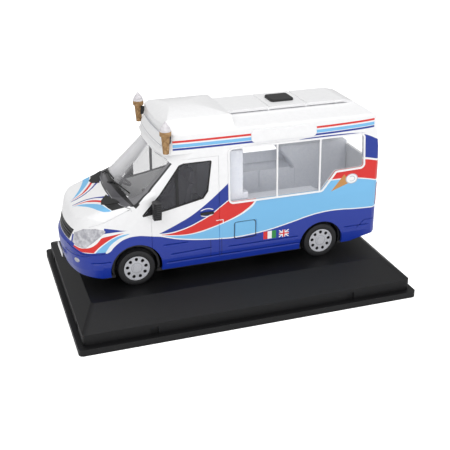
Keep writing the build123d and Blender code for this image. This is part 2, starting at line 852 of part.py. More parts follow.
def seat(x, width, places):
    """Cab seat: box base, cushion, raked back, and a narrower head restraint for each place."""
    x0 = x - width / 2
    x1 = x + width / 2
    rear = seat_front_y + seat_length
    bottom = floor_height + floor_thickness
    pan = side_prism(
        outline(
            [
                (seat_front_y + 1.0, bottom),
                (seat_front_y + 1.0, seat_pan_height - 3.2),
                (seat_front_y, seat_pan_height - 2.2),
                (seat_front_y, seat_pan_height),
                (rear, seat_pan_height - 1.0),
                (rear, bottom),
            ]
        ),
        x0,
        x1,
    )
    neck = seat_pan_height + 0.72 * (seat_back_height - seat_pan_height)
    back = [
        (rear - seat_thickness, seat_pan_height - 2.0),
        (rear, seat_pan_height - 2.0),
        (seat_rear_y + 2.6, neck),
        (seat_rear_y + 0.6, neck),
    ]
    result = pan + side_prism(outline(back), x0, x1)
    head = [
        (seat_rear_y + 0.7, neck - 1.0),
        (seat_rear_y + 2.4, neck - 1.0),
        (seat_rear_y + 3.5, seat_back_height),
        (seat_rear_y + 1.8, seat_back_height),
    ]
    pitch = width / places
    for k in range(places):
        middle = x0 + (k + 0.5) * pitch
        result += side_prism(outline(head), middle - 2.6, middle + 2.6)
    return result


def rear_interior():
    """Serving bay's floor and the bulkhead behind the cab."""
    floor = interior_slab(bulkhead_y, rear_y, floor_height, floor_height + floor_thickness)
    wall = interior_slab(bulkhead_y, bulkhead_y + bulkhead_thickness, floor_height, hatch_head + 3)
    return floor + wall


def mirror_arm_and_head(side):
    """Door mirror: two-part head on an arm from a small base by the quarter window."""
    x0 = mirror_inner_x
    x1 = mirror_inner_x + mirror_width
    z = mirror_bottom
    top = mirror_bottom + mirror_height
    neck = z + 0.32 * mirror_height
    head_face = outline(
        [
            (x0 + 0.5, z),
            (x1 - 0.6, z),
            (x1 - 0.3, neck),
            (x1, neck + 0.4),
            (x1, top),
            (x0, top),
            (x0, neck + 0.4),
            (x0 + 0.3, neck),
        ]
    )
    plane = Plane(origin=(0, mirror_front, 0), x_dir=(1, 0, 0), z_dir=(0, -1, 0))
    head = extrude(plane * head_face, amount=-mirror_depth)
    head = chamfer(head.edges().filter_by(Axis.Z).group_by(Axis.Y)[0], mirror_corner)
    rear = mirror_front + mirror_depth / 2
    foot = box(roof_half_width, x0 + 1, rear - 0.2, rear + mirror_arm, neck - 1.4, neck + 0.6)
    base = outline([(-40.4, z + 0.6), (-36.2, z + 6.0), (-36.2, z + 1.6)])
    whole = head + (foot - van_form(-fit_gap)) + (one_side(base, 1) & skin(-mirror_base_proud, -fit_gap))
    return whole if side > 0 else mirror(whole, about=Plane.YZ)


def grille():
    """Recessed grille: backing, surround and level slats."""
    inset = inset_face(grille_outline, fit_gap)
    depth = lamp_inner_x
    backing = (skin(grille_recess, grille_recess + lamp_depth) & van_band) & front_prism(inset, depth)
    rim = front_prism(inset, depth) - front_prism(inset_face(inset, 0.7), 2 * depth)
    fill = skin(fit_gap, grille_recess + fit_gap) & van_band
    result = backing + (fill & rim)
    pitch = (grille_top - grille_bottom) / (grille_slats + 1)
    for k in range(grille_slats):
        z = grille_bottom + (k + 1) * pitch
        result += fill & front_prism(inset, depth) & band(z - slat_height / 2, z + slat_height / 2)
    return result


def scuttle_vent(side):
    """Black louvre panel on the bonnet's rear corner."""
    points = [
        (7.4, -53.8),
        (10.6, -56.6),
        (14.2, -57.4),
        (17.4, -55.0),
        (20.0, -50.6),
        (16.6, -51.4),
        (12.0, -53.2),
    ]
    face = outline([(side * x, y) for x, y in points])
    raised = nose_form(-trim_proud) - nose_form(0)
    return (raised & extrude(face, amount=reach)) - cabin_form(-trim_proud)


def wiper(pivot, knee, tip):
    """Wiper arm and blade that lie along the foot of the windscreen."""
    band_face = stroke([pivot, knee, tip], wiper_width)
    plane = Plane(origin=(0, screen_y, screen_height), x_dir=(1, 0, 0), z_dir=(0, -screen_slope, 1))
    prism = extrude(plane * band_face, amount=10, both=True)
    clear = screen_form(screen_y, screen_height, screen_slope, -trim_proud - fit_gap)
    return prism & (screen_form(screen_y, screen_height, screen_slope, -wiper_proud) - clear)


def number_plate(y, bottom, towards):
    """Blank plate flat on the bumper or the rear wall."""
    half = plate_half_width
    return box(-half, half, y, y + towards * plate_thickness, bottom, bottom + plate_height)


def fog_lamp(side):
    """Round lamp sunk in the bumper."""
    plane = Plane(origin=(side * fog_lamp_x, nose_y, fog_lamp_height), x_dir=(1, 0, 0), z_dir=(0, -1, 0))
    prism = extrude(plane * RegularPolygon(fog_lamp_radius, 16), amount=-12)
    return prism & trim_skin


def tail_lamp(side):
    """Tall lamp on the rear corner."""
    x0 = side * (tail_lamp_x - tail_lamp_half_width)
    x1 = side * (tail_lamp_x + tail_lamp_half_width)
    top = tail_lamp_bottom + tail_lamp_height
    return trim_skin & box(x0, x1, rear_y - rear_corner_radius, rear_y + 1, tail_lamp_bottom, top)


def hatch_frame():
    """Raised rim round the serving hatch, with its two posts."""
    ring = inset_face(hatch_window, -hatch_rim) - hatch_window
    rim = one_side(ring, 1) & skin(-hatch_rim_proud, 0)
    posts = Part()
    for y in hatch_posts:
        half = hatch_post_width / 2
        posts += skin(fit_gap - hatch_rim_proud, glass_recess - fit_gap) & box(
            0, wide, y - half, y + half, hatch_sill - hatch_rim, hatch_head + hatch_rim
        )
    return rim + (posts & one_side(hatch_window, 1))


def door_seal(side):
    """Black surround and post of the door's window."""
    whole = inset_face(door_window, fit_gap)
    ring = whole - inset_face(whole, seal_width)
    half = door_post_width / 2
    post = Pos(door_post, (belt_height + window_head) / 2) * Rectangle(2 * half, door_height * 2)
    face = ring + (post & whole)
    return one_side(face, side) & skin(-fit_gap, glass_recess - fit_gap)


def plinth_screws():
    """Two screws from below, through the plinth's posts into the chassis."""
    screws = Part()
    for y in screw_ys:
        head = upright(screw_head_radius, y, 0, screw_head_height)
        shank_top = deck_height + chassis_bottom + screw_engagement
        screws += head + upright(screw_radius, y, screw_head_height, shank_top)
    return screws


aisle_floor = floor_height + floor_thickness
parts = {
    "body_shell": body_shell(),
    "roof": roof(),
    "roof_vent": roof_vent(),
    "front_sign": front_sign(),
    "windscreen": skin(glass_recess, glass_recess + glass_thickness) & screen_pane,
    "hatch_glass": glass_skin & one_side(inset_face(hatch_window, fit_gap), 1),
    "offside_glass": glass_skin & one_side(inset_face(offside_window, fit_gap), -1),
    "rear_glass": glass_skin & rear_prism(inset_face(rear_window, fit_gap)),
    "hatch_frame": hatch_frame(),
    "grille": grille(),
    "chassis": chassis(),
    "cab_floor": interior_slab(dash_front_y, bulkhead_y - fit_gap, floor_height, aisle_floor),
    "dashboard": dashboard(),
    "steering_wheel": steering_wheel(),
    "driver_seat": seat(driver_x, driver_seat_width, 1),
    "passenger_seat": seat(passenger_x, passenger_seat_width, 2),
    "rear_interior": rear_interior(),
    "front_number_plate": number_plate(nose_y, front_plate_bottom, -1),
    "rear_number_plate": number_plate(rear_y, rear_plate_bottom, 1),
    "wiper_left": wiper((2.0, -0.6), (5.5, 1.8), (18.0, 4.0)),
    "wiper_right": wiper((-12.0, -0.6), (-8.5, 1.8), (4.0, 2.6)),
}

bay_front = bulkhead_y + bulkhead_thickness + fit_gap
counter = interior_slab(bay_front, hatch_posts[1], aisle_floor, counter_height)
cabinets = interior_slab(bay_front, cabinet_rear_y, aisle_floor, counter_height)
parts["serving_counter"] = counter & box(counter_front_x, wide, -reach, reach, 0, reach)
parts["offside_cabinets"] = cabinets & box(-wide, cabinet_front_x, -reach, reach, 0, reach)

for side, word in side_words:
    cone_place = Pos(side * cone_x, cone_y, gutter_height - cone_drop)
    parts["wafer_cone_" + word] = cone_place * wafer_cone()
    parts["ice_cream_" + word] = cone_place * ice_cream()
    bracket = cone_bracket() if side > 0 else mirror(cone_bracket(), about=Plane.YZ)
    parts["cone_bracket_" + word] = cone_place * bracket - outer_form
    parts["side_sign_" + word] = side_sign(side)
    parts["door_glass_" + word] = glass_skin & one_side(inset_face(door_window, fit_gap), side)
    parts["door_seal_" + word] = door_seal(side)
    parts["headlamp_" + word] = lamp_skin & side_prism(
        inset_face(headlamp_outline, fit_gap), side * (lamp_inner_x + fit_gap), side * wide
    )
    parts["fog_lamp_" + word] = fog_lamp(side)
    parts["tail_lamp_" + word] = tail_lamp(side)
    parts["scuttle_vent_" + word] = scuttle_vent(side)
    parts["door_handle_" + word] = one_side(handle_outline, side) & skin(-handle_proud, 0)
    parts["mirror_" + word] = mirror_arm_and_head(side)

for end, y in (("front", front_axle_y), ("rear", rear_axle_y)):
    parts[end + "_axle"] = axle(y)
    for side, word in side_words:
        parts[end + "_tyre_" + word] = tyre(side, y)
        parts[end + "_wheel_" + word] = wheel(side, y)

os.makedirs("parts", exist_ok=True)
for name, part in parts.items():
    export_step(Pos(0, 0, deck_height) * part, os.path.join("parts", name + ".step"))
export_step(plinth_screws(), os.path.join("parts", "plinth_screws.step"))
export_step(plinth(), os.path.join("parts", "plinth.step"))
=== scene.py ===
"""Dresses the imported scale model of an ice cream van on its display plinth."""

import logging
import math
from dataclasses import dataclass, field
from enum import Enum
from functools import reduce
from operator import or_
from typing import Any, Callable

import bpy
from mathutils import Matrix, Vector

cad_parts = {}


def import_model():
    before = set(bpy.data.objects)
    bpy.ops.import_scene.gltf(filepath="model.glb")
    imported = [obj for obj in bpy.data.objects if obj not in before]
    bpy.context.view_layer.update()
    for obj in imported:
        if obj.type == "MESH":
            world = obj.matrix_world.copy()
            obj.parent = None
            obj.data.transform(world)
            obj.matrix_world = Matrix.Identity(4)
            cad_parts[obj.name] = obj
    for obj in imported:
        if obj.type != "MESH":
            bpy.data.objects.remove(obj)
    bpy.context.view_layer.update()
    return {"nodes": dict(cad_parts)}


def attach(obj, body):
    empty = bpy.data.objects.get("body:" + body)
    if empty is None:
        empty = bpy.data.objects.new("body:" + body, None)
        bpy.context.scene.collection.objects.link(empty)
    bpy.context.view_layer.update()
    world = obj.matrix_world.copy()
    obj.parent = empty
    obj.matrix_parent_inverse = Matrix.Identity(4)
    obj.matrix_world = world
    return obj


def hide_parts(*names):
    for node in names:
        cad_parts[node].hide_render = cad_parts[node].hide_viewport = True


MM = 0.001
DECK = 13.5
BUMP_DEPTH_MM = 0.1
SIGN_LOW_LINE = 60.3
SIGN_HIGH_LINE = 64.5
RING_PITCH_MM = 2.4166
TYRE_SIDE_X = 22.6
SLAT_PITCH_MM = 0.8976

log = logging.getLogger("van")

Point = tuple[float, float]


def linear(hex_colour: str) -> tuple[float, float, float, float]:
    """Turns an sRGB hex colour into linear light.

    Args:
        hex_colour: The colour as six hex digits.

    Returns:
        Red, green, blue and alpha, each from 0 to 1.
    """
    parts = [int(hex_colour[i : i + 2], 16) / 255 for i in (0, 2, 4)]
    light = [p / 12.92 if p <= 0.04045 else ((p + 0.055) / 1.055) ** 2.4 for p in parts]
    return (light[0], light[1], light[2], 1.0)


def node(
    tree: bpy.types.NodeTree, kind: str, links: dict[str, Any] | None = None, **settings: Any
) -> bpy.types.Node:
    """Adds one node to a tree.

    Args:
        tree: The tree that gets the node.
        kind: The node's Blender type without the ShaderNode prefix.
        links: A value or an output socket for each input, by name or number.
        settings: The node's own properties.

    Returns:
        The new node.
    """
    made = tree.nodes.new("ShaderNode" + kind)
    for name, value in settings.items():
        setattr(made, name, value)
    for name, value in (links or {}).items():
        socket = made.inputs[int(name)] if name.isdigit() else made.inputs[name]
        if isinstance(value, bpy.types.NodeSocket):
            tree.links.new(value, socket)
        else:
            socket.default_value = value
    return made


class Sum(Enum):
    """What is worked out from one field or two, under Blender's own names."""

    PLUS = "ADD"
    MINUS = "SUBTRACT"
    TIMES = "MULTIPLY"
    HIGHER = "MAXIMUM"
    POWER = "POWER"
    ROOT = "SQRT"
    UNSIGNED = "ABSOLUTE"
    SINE = "SINE"
    ANGLE = "ARCTAN2"
    FOLD = "PINGPONG"


@dataclass(frozen=True)
class Field:
    """A number that varies over a surface, such as a place in millimetres or how much ink lies there."""

    tree: bpy.types.NodeTree
    socket: Any

    def work(self, how: Sum, other: "Field | float" = 0.0) -> "Field":
        """Works out a new field from this one.

        Args:
            how: What is worked out.
            other: The second field or a plain number, where the sum takes two.

        Returns:
            The new field.
        """
        value = other.socket if isinstance(other, Field) else other
        made = node(self.tree, "Math", {"0": self.socket, "1": value}, operation=how.value)
        return Field(self.tree, made.outputs[0])

    def __add__(self, other: "Field | float") -> "Field":
        """Adds another field."""
        return self.work(Sum.PLUS, other)

    def __sub__(self, other: "Field | float") -> "Field":
        """Takes another field away."""
        return self.work(Sum.MINUS, other)

    def __mul__(self, other: "Field | float") -> "Field":
        """Multiplies by another field: both must be there."""
        return self.work(Sum.TIMES, other)

    def __or__(self, other: "Field | float") -> "Field":
        """Takes the higher: either may be there."""
        return self.work(Sum.HIGHER, other)

    def unsigned(self) -> "Field":
        """Drops the sign."""
        return self.work(Sum.UNSIGNED)

    def reach(self, other: "Field") -> "Field":
        """Gives the straight distance that two places at right angles make."""
        return (self * self + other * other).work(Sum.ROOT)

    def above(self, edge: "Field | float", soft: float = 0.1) -> "Field":
        """Finds where this field lies above an edge.

        Args:
            edge: The edge's own level.
            soft: How wide the blurred edge is.

        Returns:
            One above the edge, nought below it.
        """
        rise = (self - edge) * (1 / soft) + 0.5
        made = node(self.tree, "Clamp", {"Value": rise.socket})
        return Field(self.tree, made.outputs[0])

    def below(self, edge: "Field | float", soft: float = 0.1) -> "Field":
        """Finds where this field lies below an edge, the other way round from above."""
        return (self * -1.0).above(edge * -1.0, soft)

    def within(self, low: "Field | float", high: "Field | float", soft: float = 0.1) -> "Field":
        """Finds where this field lies between two edges."""
        return self.above(low, soft) * self.below(high, soft)

    def near(self, middle: "Field | float", half: float, soft: float = 0.1) -> "Field":
        """Finds where this field lies within half a width of a middle."""
        return self.within(middle - half, middle + half, soft)

    def along(self, points: list[Point]) -> "Field":
        """Reads a smooth line at this field's value.

        Args:
            points: The line's points, by rising first number.

        Returns:
            The line's second number.
        """
        margin = 0.01
        x0, x1 = points[0][0], points[-1][0]
        low = min(p[1] for p in points) - margin
        high = max(p[1] for p in points) + margin
        share = (self - x0) * (1 / (x1 - x0))
        clamped = node(self.tree, "Clamp", {"Value": share.socket})
        made = node(self.tree, "FloatCurve", {"Value": clamped.outputs[0]})
        curve = made.mapping.curves[0]
        places = [((x - x0) / (x1 - x0), (z - low) / (high - low)) for x, z in points]
        curve.points[0].location = places[0]
        curve.points[1].location = places[-1]
        for place in places[1:-1]:
            curve.points.new(*place)
        made.mapping.update()
        return Field(self.tree, made.outputs[0]) * (high - low) + low


@dataclass(frozen=True)
class Surface:
    """Places on one piece in millimetres, with heights above the plinth's deck."""

    tree: bpy.types.NodeTree

    def axes(self) -> tuple[Field, Field, Field]:
        """Reads the three places.

        Returns:
            Distance from the middle line, place along the van, and height above the deck.
        """
        place = node(self.tree, "TexCoord").outputs["Object"]
        split = node(self.tree, "SeparateXYZ", {"0": place})
        x, y, z = (Field(self.tree, split.outputs[i]) * (1 / MM) for i in range(3))
        return x.unsigned(), y, z - DECK

    def noise(self, grain_mm: float, detail: float = 3.0) -> Any:
        """Makes a fine random grain.

        Args:
            grain_mm: The grain's size.
            detail: How many finer layers it has.

        Returns:
            The output socket, from 0 to 1.
        """
        place = node(self.tree, "TexCoord").outputs["Object"]
        made = node(self.tree, "TexNoise", {"Vector": place, "Scale": 1 / (grain_mm * MM), "Detail": detail})
        return made.outputs["Fac"]


@dataclass(frozen=True)
class Finish:
    """One surface finish, with the fine mottle and grain that its making leaves."""

    name: str
    colour: str
    shade: str
    roughness: float = 0.35
    metallic: float = 0.0
    ior: float = 1.5
    coat: float = 0.0
    alpha: float = 1.0
    specular: float = 0.5
    grain_mm: float = 1.0
    bump: float = 0.02
    marks: Callable[[Surface, Any], Any] | None = None
    relief: Callable[[Surface], Field] | None = None
    relief_mm: float = 0.2
    # Where the glass is hidden: its print, and for the windscreen also a painted reflection
    printed: Callable[[Surface], Field] | None = None

    def make(self) -> bpy.types.Material:
        """Builds the material.

        Returns:
            The finished node material.
        """
        material = bpy.data.materials.new(self.name)
        material.use_nodes = True
        tree = material.node_tree
        tree.nodes.clear()
        surface = Surface(tree)
        grain = surface.noise(self.grain_mm)
        ramp = node(tree, "ValToRGB", {"Fac": grain})
        for stop, (place, tone) in zip(ramp.color_ramp.elements, ((0.35, self.shade), (0.65, self.colour))):
            stop.position = place
            stop.color = linear(tone)
        colour = ramp.outputs["Color"]
        if self.marks:
            colour = self.marks(surface, colour)
        bump = node(tree, "Bump", {"Height": grain, "Strength": self.bump, "Distance": BUMP_DEPTH_MM * MM})
        if self.relief:
            height = self.relief(surface).socket
            links = {"Height": height, "Distance": self.relief_mm * MM, "Normal": bump.outputs["Normal"]}
            bump = node(tree, "Bump", links)
        values = {
            "Base Color": colour,
            "Roughness": self.roughness,
            "Metallic": self.metallic,
            "IOR": self.ior,
            "Coat Weight": self.coat,
            "Specular IOR Level": self.specular,
            "Alpha": (self.printed(surface) | self.alpha).socket if self.printed else self.alpha,
            "Normal": bump.outputs["Normal"],
        }
        shader = node(tree, "BsdfPrincipled", values)
        node(tree, "OutputMaterial", {"Surface": shader.outputs["BSDF"]})
        return material


class Ink(Enum):
    """The printing inks, the touches of paint over moulded pieces, and the colours of the painted highlights
    and painted shade, as sRGB hex.
    """

    ROYAL = "082E9A"
    NAVY = "062E94"
    SKY = "78BDEA"
    RED = "DA211C"
    WHITE = "F3F3F4"
    BLACK = "0E0E10"
    GREEN = "22883C"
    WAFER = "C48A48"
    SHUT_LINE = "0A1450"
    COWL_GREY = "4E4D52"
    # A painted highlight: the pale line along the scuttle's front edge
    COWL_EDGE = "A9A9AE"
    OUTLINE = "B9BCC6"
    BORDER = "B4B6BC"
    # Painted shade for the trim's holes and the wheel behind its face
    HOLE = "0A0A0B"
    CAP_RING = "8E8F94"
    RIB_SHADE = "7E5A32"


Print = tuple[Ink, Field]


def ink(surface: Surface, under: Any, colour: Ink, where: Field) -> Any:
    """Lays one colour over what is there.

    Args:
        surface: The surface that is printed.
        under: The colour that is there.
        colour: The new colour.
        where: Where it lies, from 0 to 1.

    Returns:
        The colour afterwards.
    """
    links = {"0": where.socket, "6": under, "7": linear(colour.value)}
    return node(surface.tree, "Mix", links, data_type="RGBA").outputs[2]


@dataclass(frozen=True)
class Screen:
    """The raked windscreen's slope, its printed foot, its painted glare and how much they hide."""

    foot_y: float = -51.2
    foot_z: float = 41.2
    slope_y: float = 0.7346
    slope_z: float = 0.6785
    # The glare is a painted reflection: the pale glass turns opaque where it is seen edge-on
    glare_facing: float = 0.59
    glare: float = 0.72

    def rise(self, y: Field, z: Field) -> Field:
        """Gives how far up the slope a place lies."""
        return (y - self.foot_y) * self.slope_y + (z - self.foot_z) * self.slope_z

    def depth(self, y: Field, z: Field) -> Field:
        """Gives how far outside the slope a place lies."""
        return (z - self.foot_z) * self.slope_y - (y - self.foot_y) * self.slope_z

    def half_width(self, rise: Field) -> Field:
        """Gives the screen's half width at each rise."""
        return rise.along(
            [(0.4, 22.3), (1.4, 22.8), (4.8, 22.35), (7.5, 21.7), (10.9, 21.1), (17.3, 20.8), (24.6, 20.4)]
        )

    def foot(self, surface: Surface) -> Field:
        """Finds the printed foot."""
        x, y, z = surface.axes()
        return self.rise(y, z).below(x.along([(0.0, 1.6), (11.5, 2.3), (20.4, 2.2)]))

    def cover(self, surface: Surface) -> Field:
        """Finds how much the screen hides: its printed foot, and a painted reflection, where the near-white
        glass turns opaque as it is seen edge-on.
        """
        facing = Field(surface.tree, node(surface.tree, "LayerWeight", {"Blend": 0.5}).outputs["Facing"])
        return self.foot(surface) | facing.above(self.glare_facing, 0.2) * self.glare

    def marks(self, surface: Surface, under: Any) -> Any:
        """Prints the foot black."""
        return ink(surface, under, Ink.BLACK, self.foot(surface))


@dataclass(frozen=True)
class Livery:
    """Tampo-printed stripes and bands over the white enamel, the same on both sides.

    Its sizes are millimetres, and a point is a place along the van and a height above the deck.
    """

    screen: Screen = Screen()
    pinstripe: float = 0.5
    belt_height: float = 30.0
    side_lean: float = 0.0345
    side_skin: float = 22.6
    tail_corner: float = 87.3
    tail_skin: float = 67.5
    cab_front: float = -47.0
    skirt_height: float = 20.0
    cone_tip: Point = (43.6, 32.1)
    cone_way: Point = (0.84, 0.54)
    cone_length: float = 9.2
    scoop_middle: Point = (53.6, 36.9)
    bowl_middle: Point = (-14.0, 30.1)
    flag_front: float = 11.8
    flag_stripe: float = 2.0
    flag_heights: Point = (13.5, 17.2)
    crossed_flag_middle: Point = (21.5, 15.1)
    flap_middle: Point = (3.2, 19.75)

    def paint(self, surface: Surface, under: Any) -> Any:
        """Prints every band in turn, each over the ones before.

        Args:
            surface: The body's surface.
            under: The bare enamel's colour.

        Returns:
            The finished colour.
        """
        x, y, z = surface.axes()
        outside = self.outside(x, y, z)
        prints = [*self.side(x, y, z), *self.cone(y, z), *self.flags(y, z), *self.seams(y, z)]
        prints = [(made, where * outside) for made, where in prints]
        colour = under
        for made, where in (*prints, *self.wing(x, y, z), *self.bonnet(x, y, z), *self.cowl(x, y, z)):
            colour = ink(surface, colour, made, where)
        return colour

    def outside(self, x: Field, y: Field, z: Field) -> Field:
        """Finds the outer skin, where the walls are printed, and leaves the inner one bare.

        Args:
            x: Distance from the middle line.
            y: Place along the van.
            z: Height above the deck.

        Returns:
            One on the outer skin, nought on the inner one.
        """
        upright = x + ((z - self.belt_height) | 0.0) * self.side_lean
        corner = (upright + y).above(self.tail_corner) | y.above(self.tail_skin)
        ends = y.below(self.cab_front) | z.below(self.skirt_height)
        return upright.above(self.side_skin) | corner | ends

    def cone(self, y: Field, z: Field) -> list[Print]:
        """Gives the printed wafer cone and its scoop behind the hatch.

        Args:
            y: Place along the van.
            z: Height above the deck.

        Returns:
            Inks with the places where they lie, from the lowest layer up.
        """
        from_tip_y, from_tip_z = y - self.cone_tip[0], z - self.cone_tip[1]
        way_y, way_z = self.cone_way
        along = from_tip_y * way_y + from_tip_z * way_z
        across = (from_tip_y * -way_z + from_tip_z * way_y) - along * 0.02
        wafer = across.near(0.0, 2.4) * along.within(0.0, self.cone_length)
        scoop_y, scoop_z = y - self.scoop_middle[0], z - self.scoop_middle[1]
        scoop = (scoop_y * 0.7874).reach(scoop_z)
        return [
            (Ink.WAFER, wafer * (across.unsigned() - along * 0.27).below(0.0)),
            (Ink.OUTLINE, scoop.below(2.35)),
            (Ink.WHITE, scoop.below(2.0)),
            (Ink.OUTLINE, scoop.near(1.15, 0.14) * scoop_y.above(-0.9)),
        ]

    def flags(self, y: Field, z: Field) -> list[Print]:
        """Gives the striped flag and the crossed flag ahead of the rear wheel.

        Args:
            y: Place along the van.
            z: Height above the deck.

        Returns:
            Inks with the places where they lie, from the lowest layer up.
        """
        height = z.within(*self.flag_heights)
        stripes = []
        for number, colour in enumerate((Ink.RED, Ink.WHITE, Ink.GREEN)):
            start = self.flag_front + self.flag_stripe * number
            stripes.append((colour, height * y.within(start, start + self.flag_stripe)))
        middle_y, middle_z = self.crossed_flag_middle
        ground = y.within(19.2, 23.9) * z.within(13.4, 16.8)
        cross = y.near(middle_y, 0.75) | z.near(middle_z, 0.6)
        inner_cross = y.near(middle_y, 0.38) | z.near(middle_z, 0.3)
        saltire = ((y - middle_y).unsigned() * 0.72 - (z - middle_z).unsigned()).near(0.0, 0.3)
        return [
            *stripes,
            (Ink.ROYAL, ground),
            (Ink.WHITE, ground * (cross | saltire)),
            (Ink.RED, ground * inner_cross),
        ]

    def seams(self, y: Field, z: Field) -> list[Print]:
        """Gives the inked lines: the painted highlights on the rims of the handle's recess, the filler flap,
        the sill's joints and the step guard.

        Args:
            y: Place along the van.
            z: Height above the deck.

        Returns:
            Inks with the places where they lie, from the lowest layer up.
        """
        bowl_y, bowl_z = (y - self.bowl_middle[0]) * 0.55, z - self.bowl_middle[1]
        # Painted highlight: white arcs above and below the handle, where the rims of its recess catch the
        # light
        bowl_highlight = bowl_y.reach(bowl_z).near(1.75, 0.17) * bowl_z.unsigned().above(1.0)
        shares = ((y - self.flap_middle[0]) * 0.2, (z - self.flap_middle[1]) * 0.247)
        flap_y, flap_z = ((share * share).work(Sum.POWER, 4.0) for share in shares)
        joints = (y.near(-12.5, 0.13) | y.near(-7.5, 0.13)) * z.within(8.8, 17.0)
        guard_top = y.within(-10.0, -6.8) * z.near(25.8, 0.16)
        guard_end = y.near(-6.8, 0.16) * z.within(23.9, 25.9)
        return [
            (Ink.WHITE, bowl_highlight),
            (Ink.BLACK, (flap_y + flap_z).within(0.66, 1.2, 0.12)),
            (Ink.SHUT_LINE, joints),
            (Ink.WHITE, guard_top | guard_end),
        ]

    def pressings(self, surface: Surface) -> Field:
        """Gives the height of the pressed lines along the lower body and the bumper.

        Args:
            surface: The body's surface.

        Returns:
            The height as a share of the pressing's depth.
        """
        x, y, z = surface.axes()
        half, soft, run_out = 0.3, 0.5, 1.0
        door_line = y.along([(-29.0, 12.7), (-12.5, 13.2)])
        lines = [
            z.near(17.4, half, soft) * y.within(-33.0, -23.0, run_out),
            z.near(door_line, half, soft) * y.within(-30.0, -12.6, run_out),
            z.near(12.4, half, soft) * y.within(-4.0, 28.0, run_out),
            z.near(9.1, half, 0.4) * y.within(-32.0, 29.0, run_out),
            z.near(13.4, half, soft) * y.within(51.5, 63.0, run_out),
            z.near(13.2, half, soft) * y.within(-64.0, -56.5, run_out),
            z.near(16.5, 0.25, soft) * y.below(-64.7) * x.above(8.0),
        ]
        return reduce(or_, lines) * -1.0

    def side(self, x: Field, y: Field, z: Field) -> list[Print]:
        """Gives the bands along the side and round the tail.

        Args:
            x: Distance from the middle line.
            y: Place along the van.
            z: Height above the deck.

        Returns:
            Inks with the places where they lie, from the lowest layer up.
        """
        royal_top = y.along(
            [
                (-58.5, 17.4), (-56.3, 18.3), (-55.2, 19.5), (-53.9, 20.7), (-52.1, 22.0), (-50.4, 22.9),
                (-48.6, 23.4), (-46.9, 23.7), (-44.8, 23.7), (-41.4, 23.25), (-38.3, 22.6), (-35.0, 22.0),
                (-31.5, 20.9), (-27.2, 19.6), (-21.9, 18.5), (-15.2, 17.5), (-8.4, 16.8), (-1.4, 16.4),
                (5.4, 16.7), (12.5, 17.4), (19.5, 18.6), (26.6, 20.1), (33.8, 21.7), (38.7, 22.4),
                (43.5, 22.7), (48.5, 22.6), (56.0, 22.0), (68.0, 21.5),
            ]
        )
        sky_top = y.along(
            [
                (-34.5, 22.2), (-33.2, 22.0), (-28.5, 21.4), (-23.2, 20.95), (-17.4, 21.3), (-12.0, 22.5),
                (-7.4, 23.8), (-2.9, 25.2), (1.2, 26.8), (4.4, 28.6), (6.7, 30.3), (8.5, 32.6),
            ]
        )
        sky_rear = y.along(
            [(40.0, 37.1), (45.3, 37.2), (50.2, 37.1), (55.1, 36.7), (60.1, 35.9), (67.0, 34.2)]
        )
        wedge_low = y.along(
            [
                (-35.2, 23.35), (-30.6, 23.2), (-26.2, 23.8), (-21.7, 25.0), (-17.3, 26.8), (-12.8, 28.9),
                (-8.3, 31.9), (-4.4, 34.6),
            ]
        )
        wedge_high = y.along(
            [
                (-35.2, 23.4), (-30.5, 25.2), (-26.1, 27.1), (-21.7, 29.2), (-17.2, 32.0), (-12.7, 35.2),
                (-8.1, 38.9), (-4.4, 42.0),
            ]
        )
        red_low = y.along(
            [
                (-34.1, 22.6), (-29.8, 21.9), (-25.4, 21.4), (-20.9, 21.4), (-16.5, 22.0), (-12.0, 23.0),
                (-7.4, 24.3), (-2.9, 25.8), (0.8, 27.4), (3.9, 29.3), (6.2, 31.0), (8.2, 33.4),
            ]
        )
        rear = y.above(40.9)
        front_sky = y.within(-34.5, 8.8) * z.below(sky_top)
        middle_sky = y.within(8.4, 41.1) * z.below(45.0)
        sky = z.above(royal_top + self.pinstripe) * (front_sky | middle_sky | rear * z.below(sky_rear))
        under_wedge = z.below(wedge_low - self.pinstripe) | y.above(-4.4)
        door_red = y.within(-34.1, 8.4) * z.above(red_low) * z.below(34.0) * under_wedge
        red_rear_top = y.along([(58.6, 45.4), (62.1, 44.8), (65.1, 44.1), (67.0, 43.7)])
        corner = y.above(58.6) * x.above(15.8)
        corner_top = y.along([(58.6, 56.9), (61.4, 55.9), (64.5, 54.4), (67.0, 53.2)])
        corner_low = y.along([(58.6, 46.4), (62.0, 45.7), (65.0, 45.0), (67.0, 44.6)])
        crescent_high = y.along([(27.0, 57.5), (37.0, 58.1), (46.0, 58.1), (56.0, 57.7), (60.0, 57.1)])
        crescent_low = y.along([(27.0, 57.5), (37.0, 57.45), (46.0, 57.5), (56.0, 57.5), (60.0, 57.1)])
        stripes = y.within(-28.0, 63.4, 0.15)
        level = z - y.along([(-28.0, 0.3), (-8.0, 0.0), (36.0, 0.0), (48.0, 0.2), (63.4, 0.9)])
        return [
            (Ink.SKY, sky),
            (Ink.RED, door_red),
            (Ink.NAVY, y.within(-35.2, -3.9) * z.above(wedge_low) * z.below(wedge_high)),
            (Ink.RED, rear * z.above(sky_rear + self.pinstripe) * z.below(red_rear_top)),
            (Ink.NAVY, corner * z.within(corner_low, corner_top)),
            (Ink.NAVY, y.within(27.0, 60.0) * z.within(crescent_low, crescent_high)),
            (Ink.RED, stripes * level.within(61.85, 62.75)),
            (Ink.SKY, stripes * level.within(59.8, 61.2)),
            (Ink.NAVY, stripes * level.within(58.7, 59.55)),
            (Ink.ROYAL, z.below(royal_top) * y.above(-58.9)),
        ]

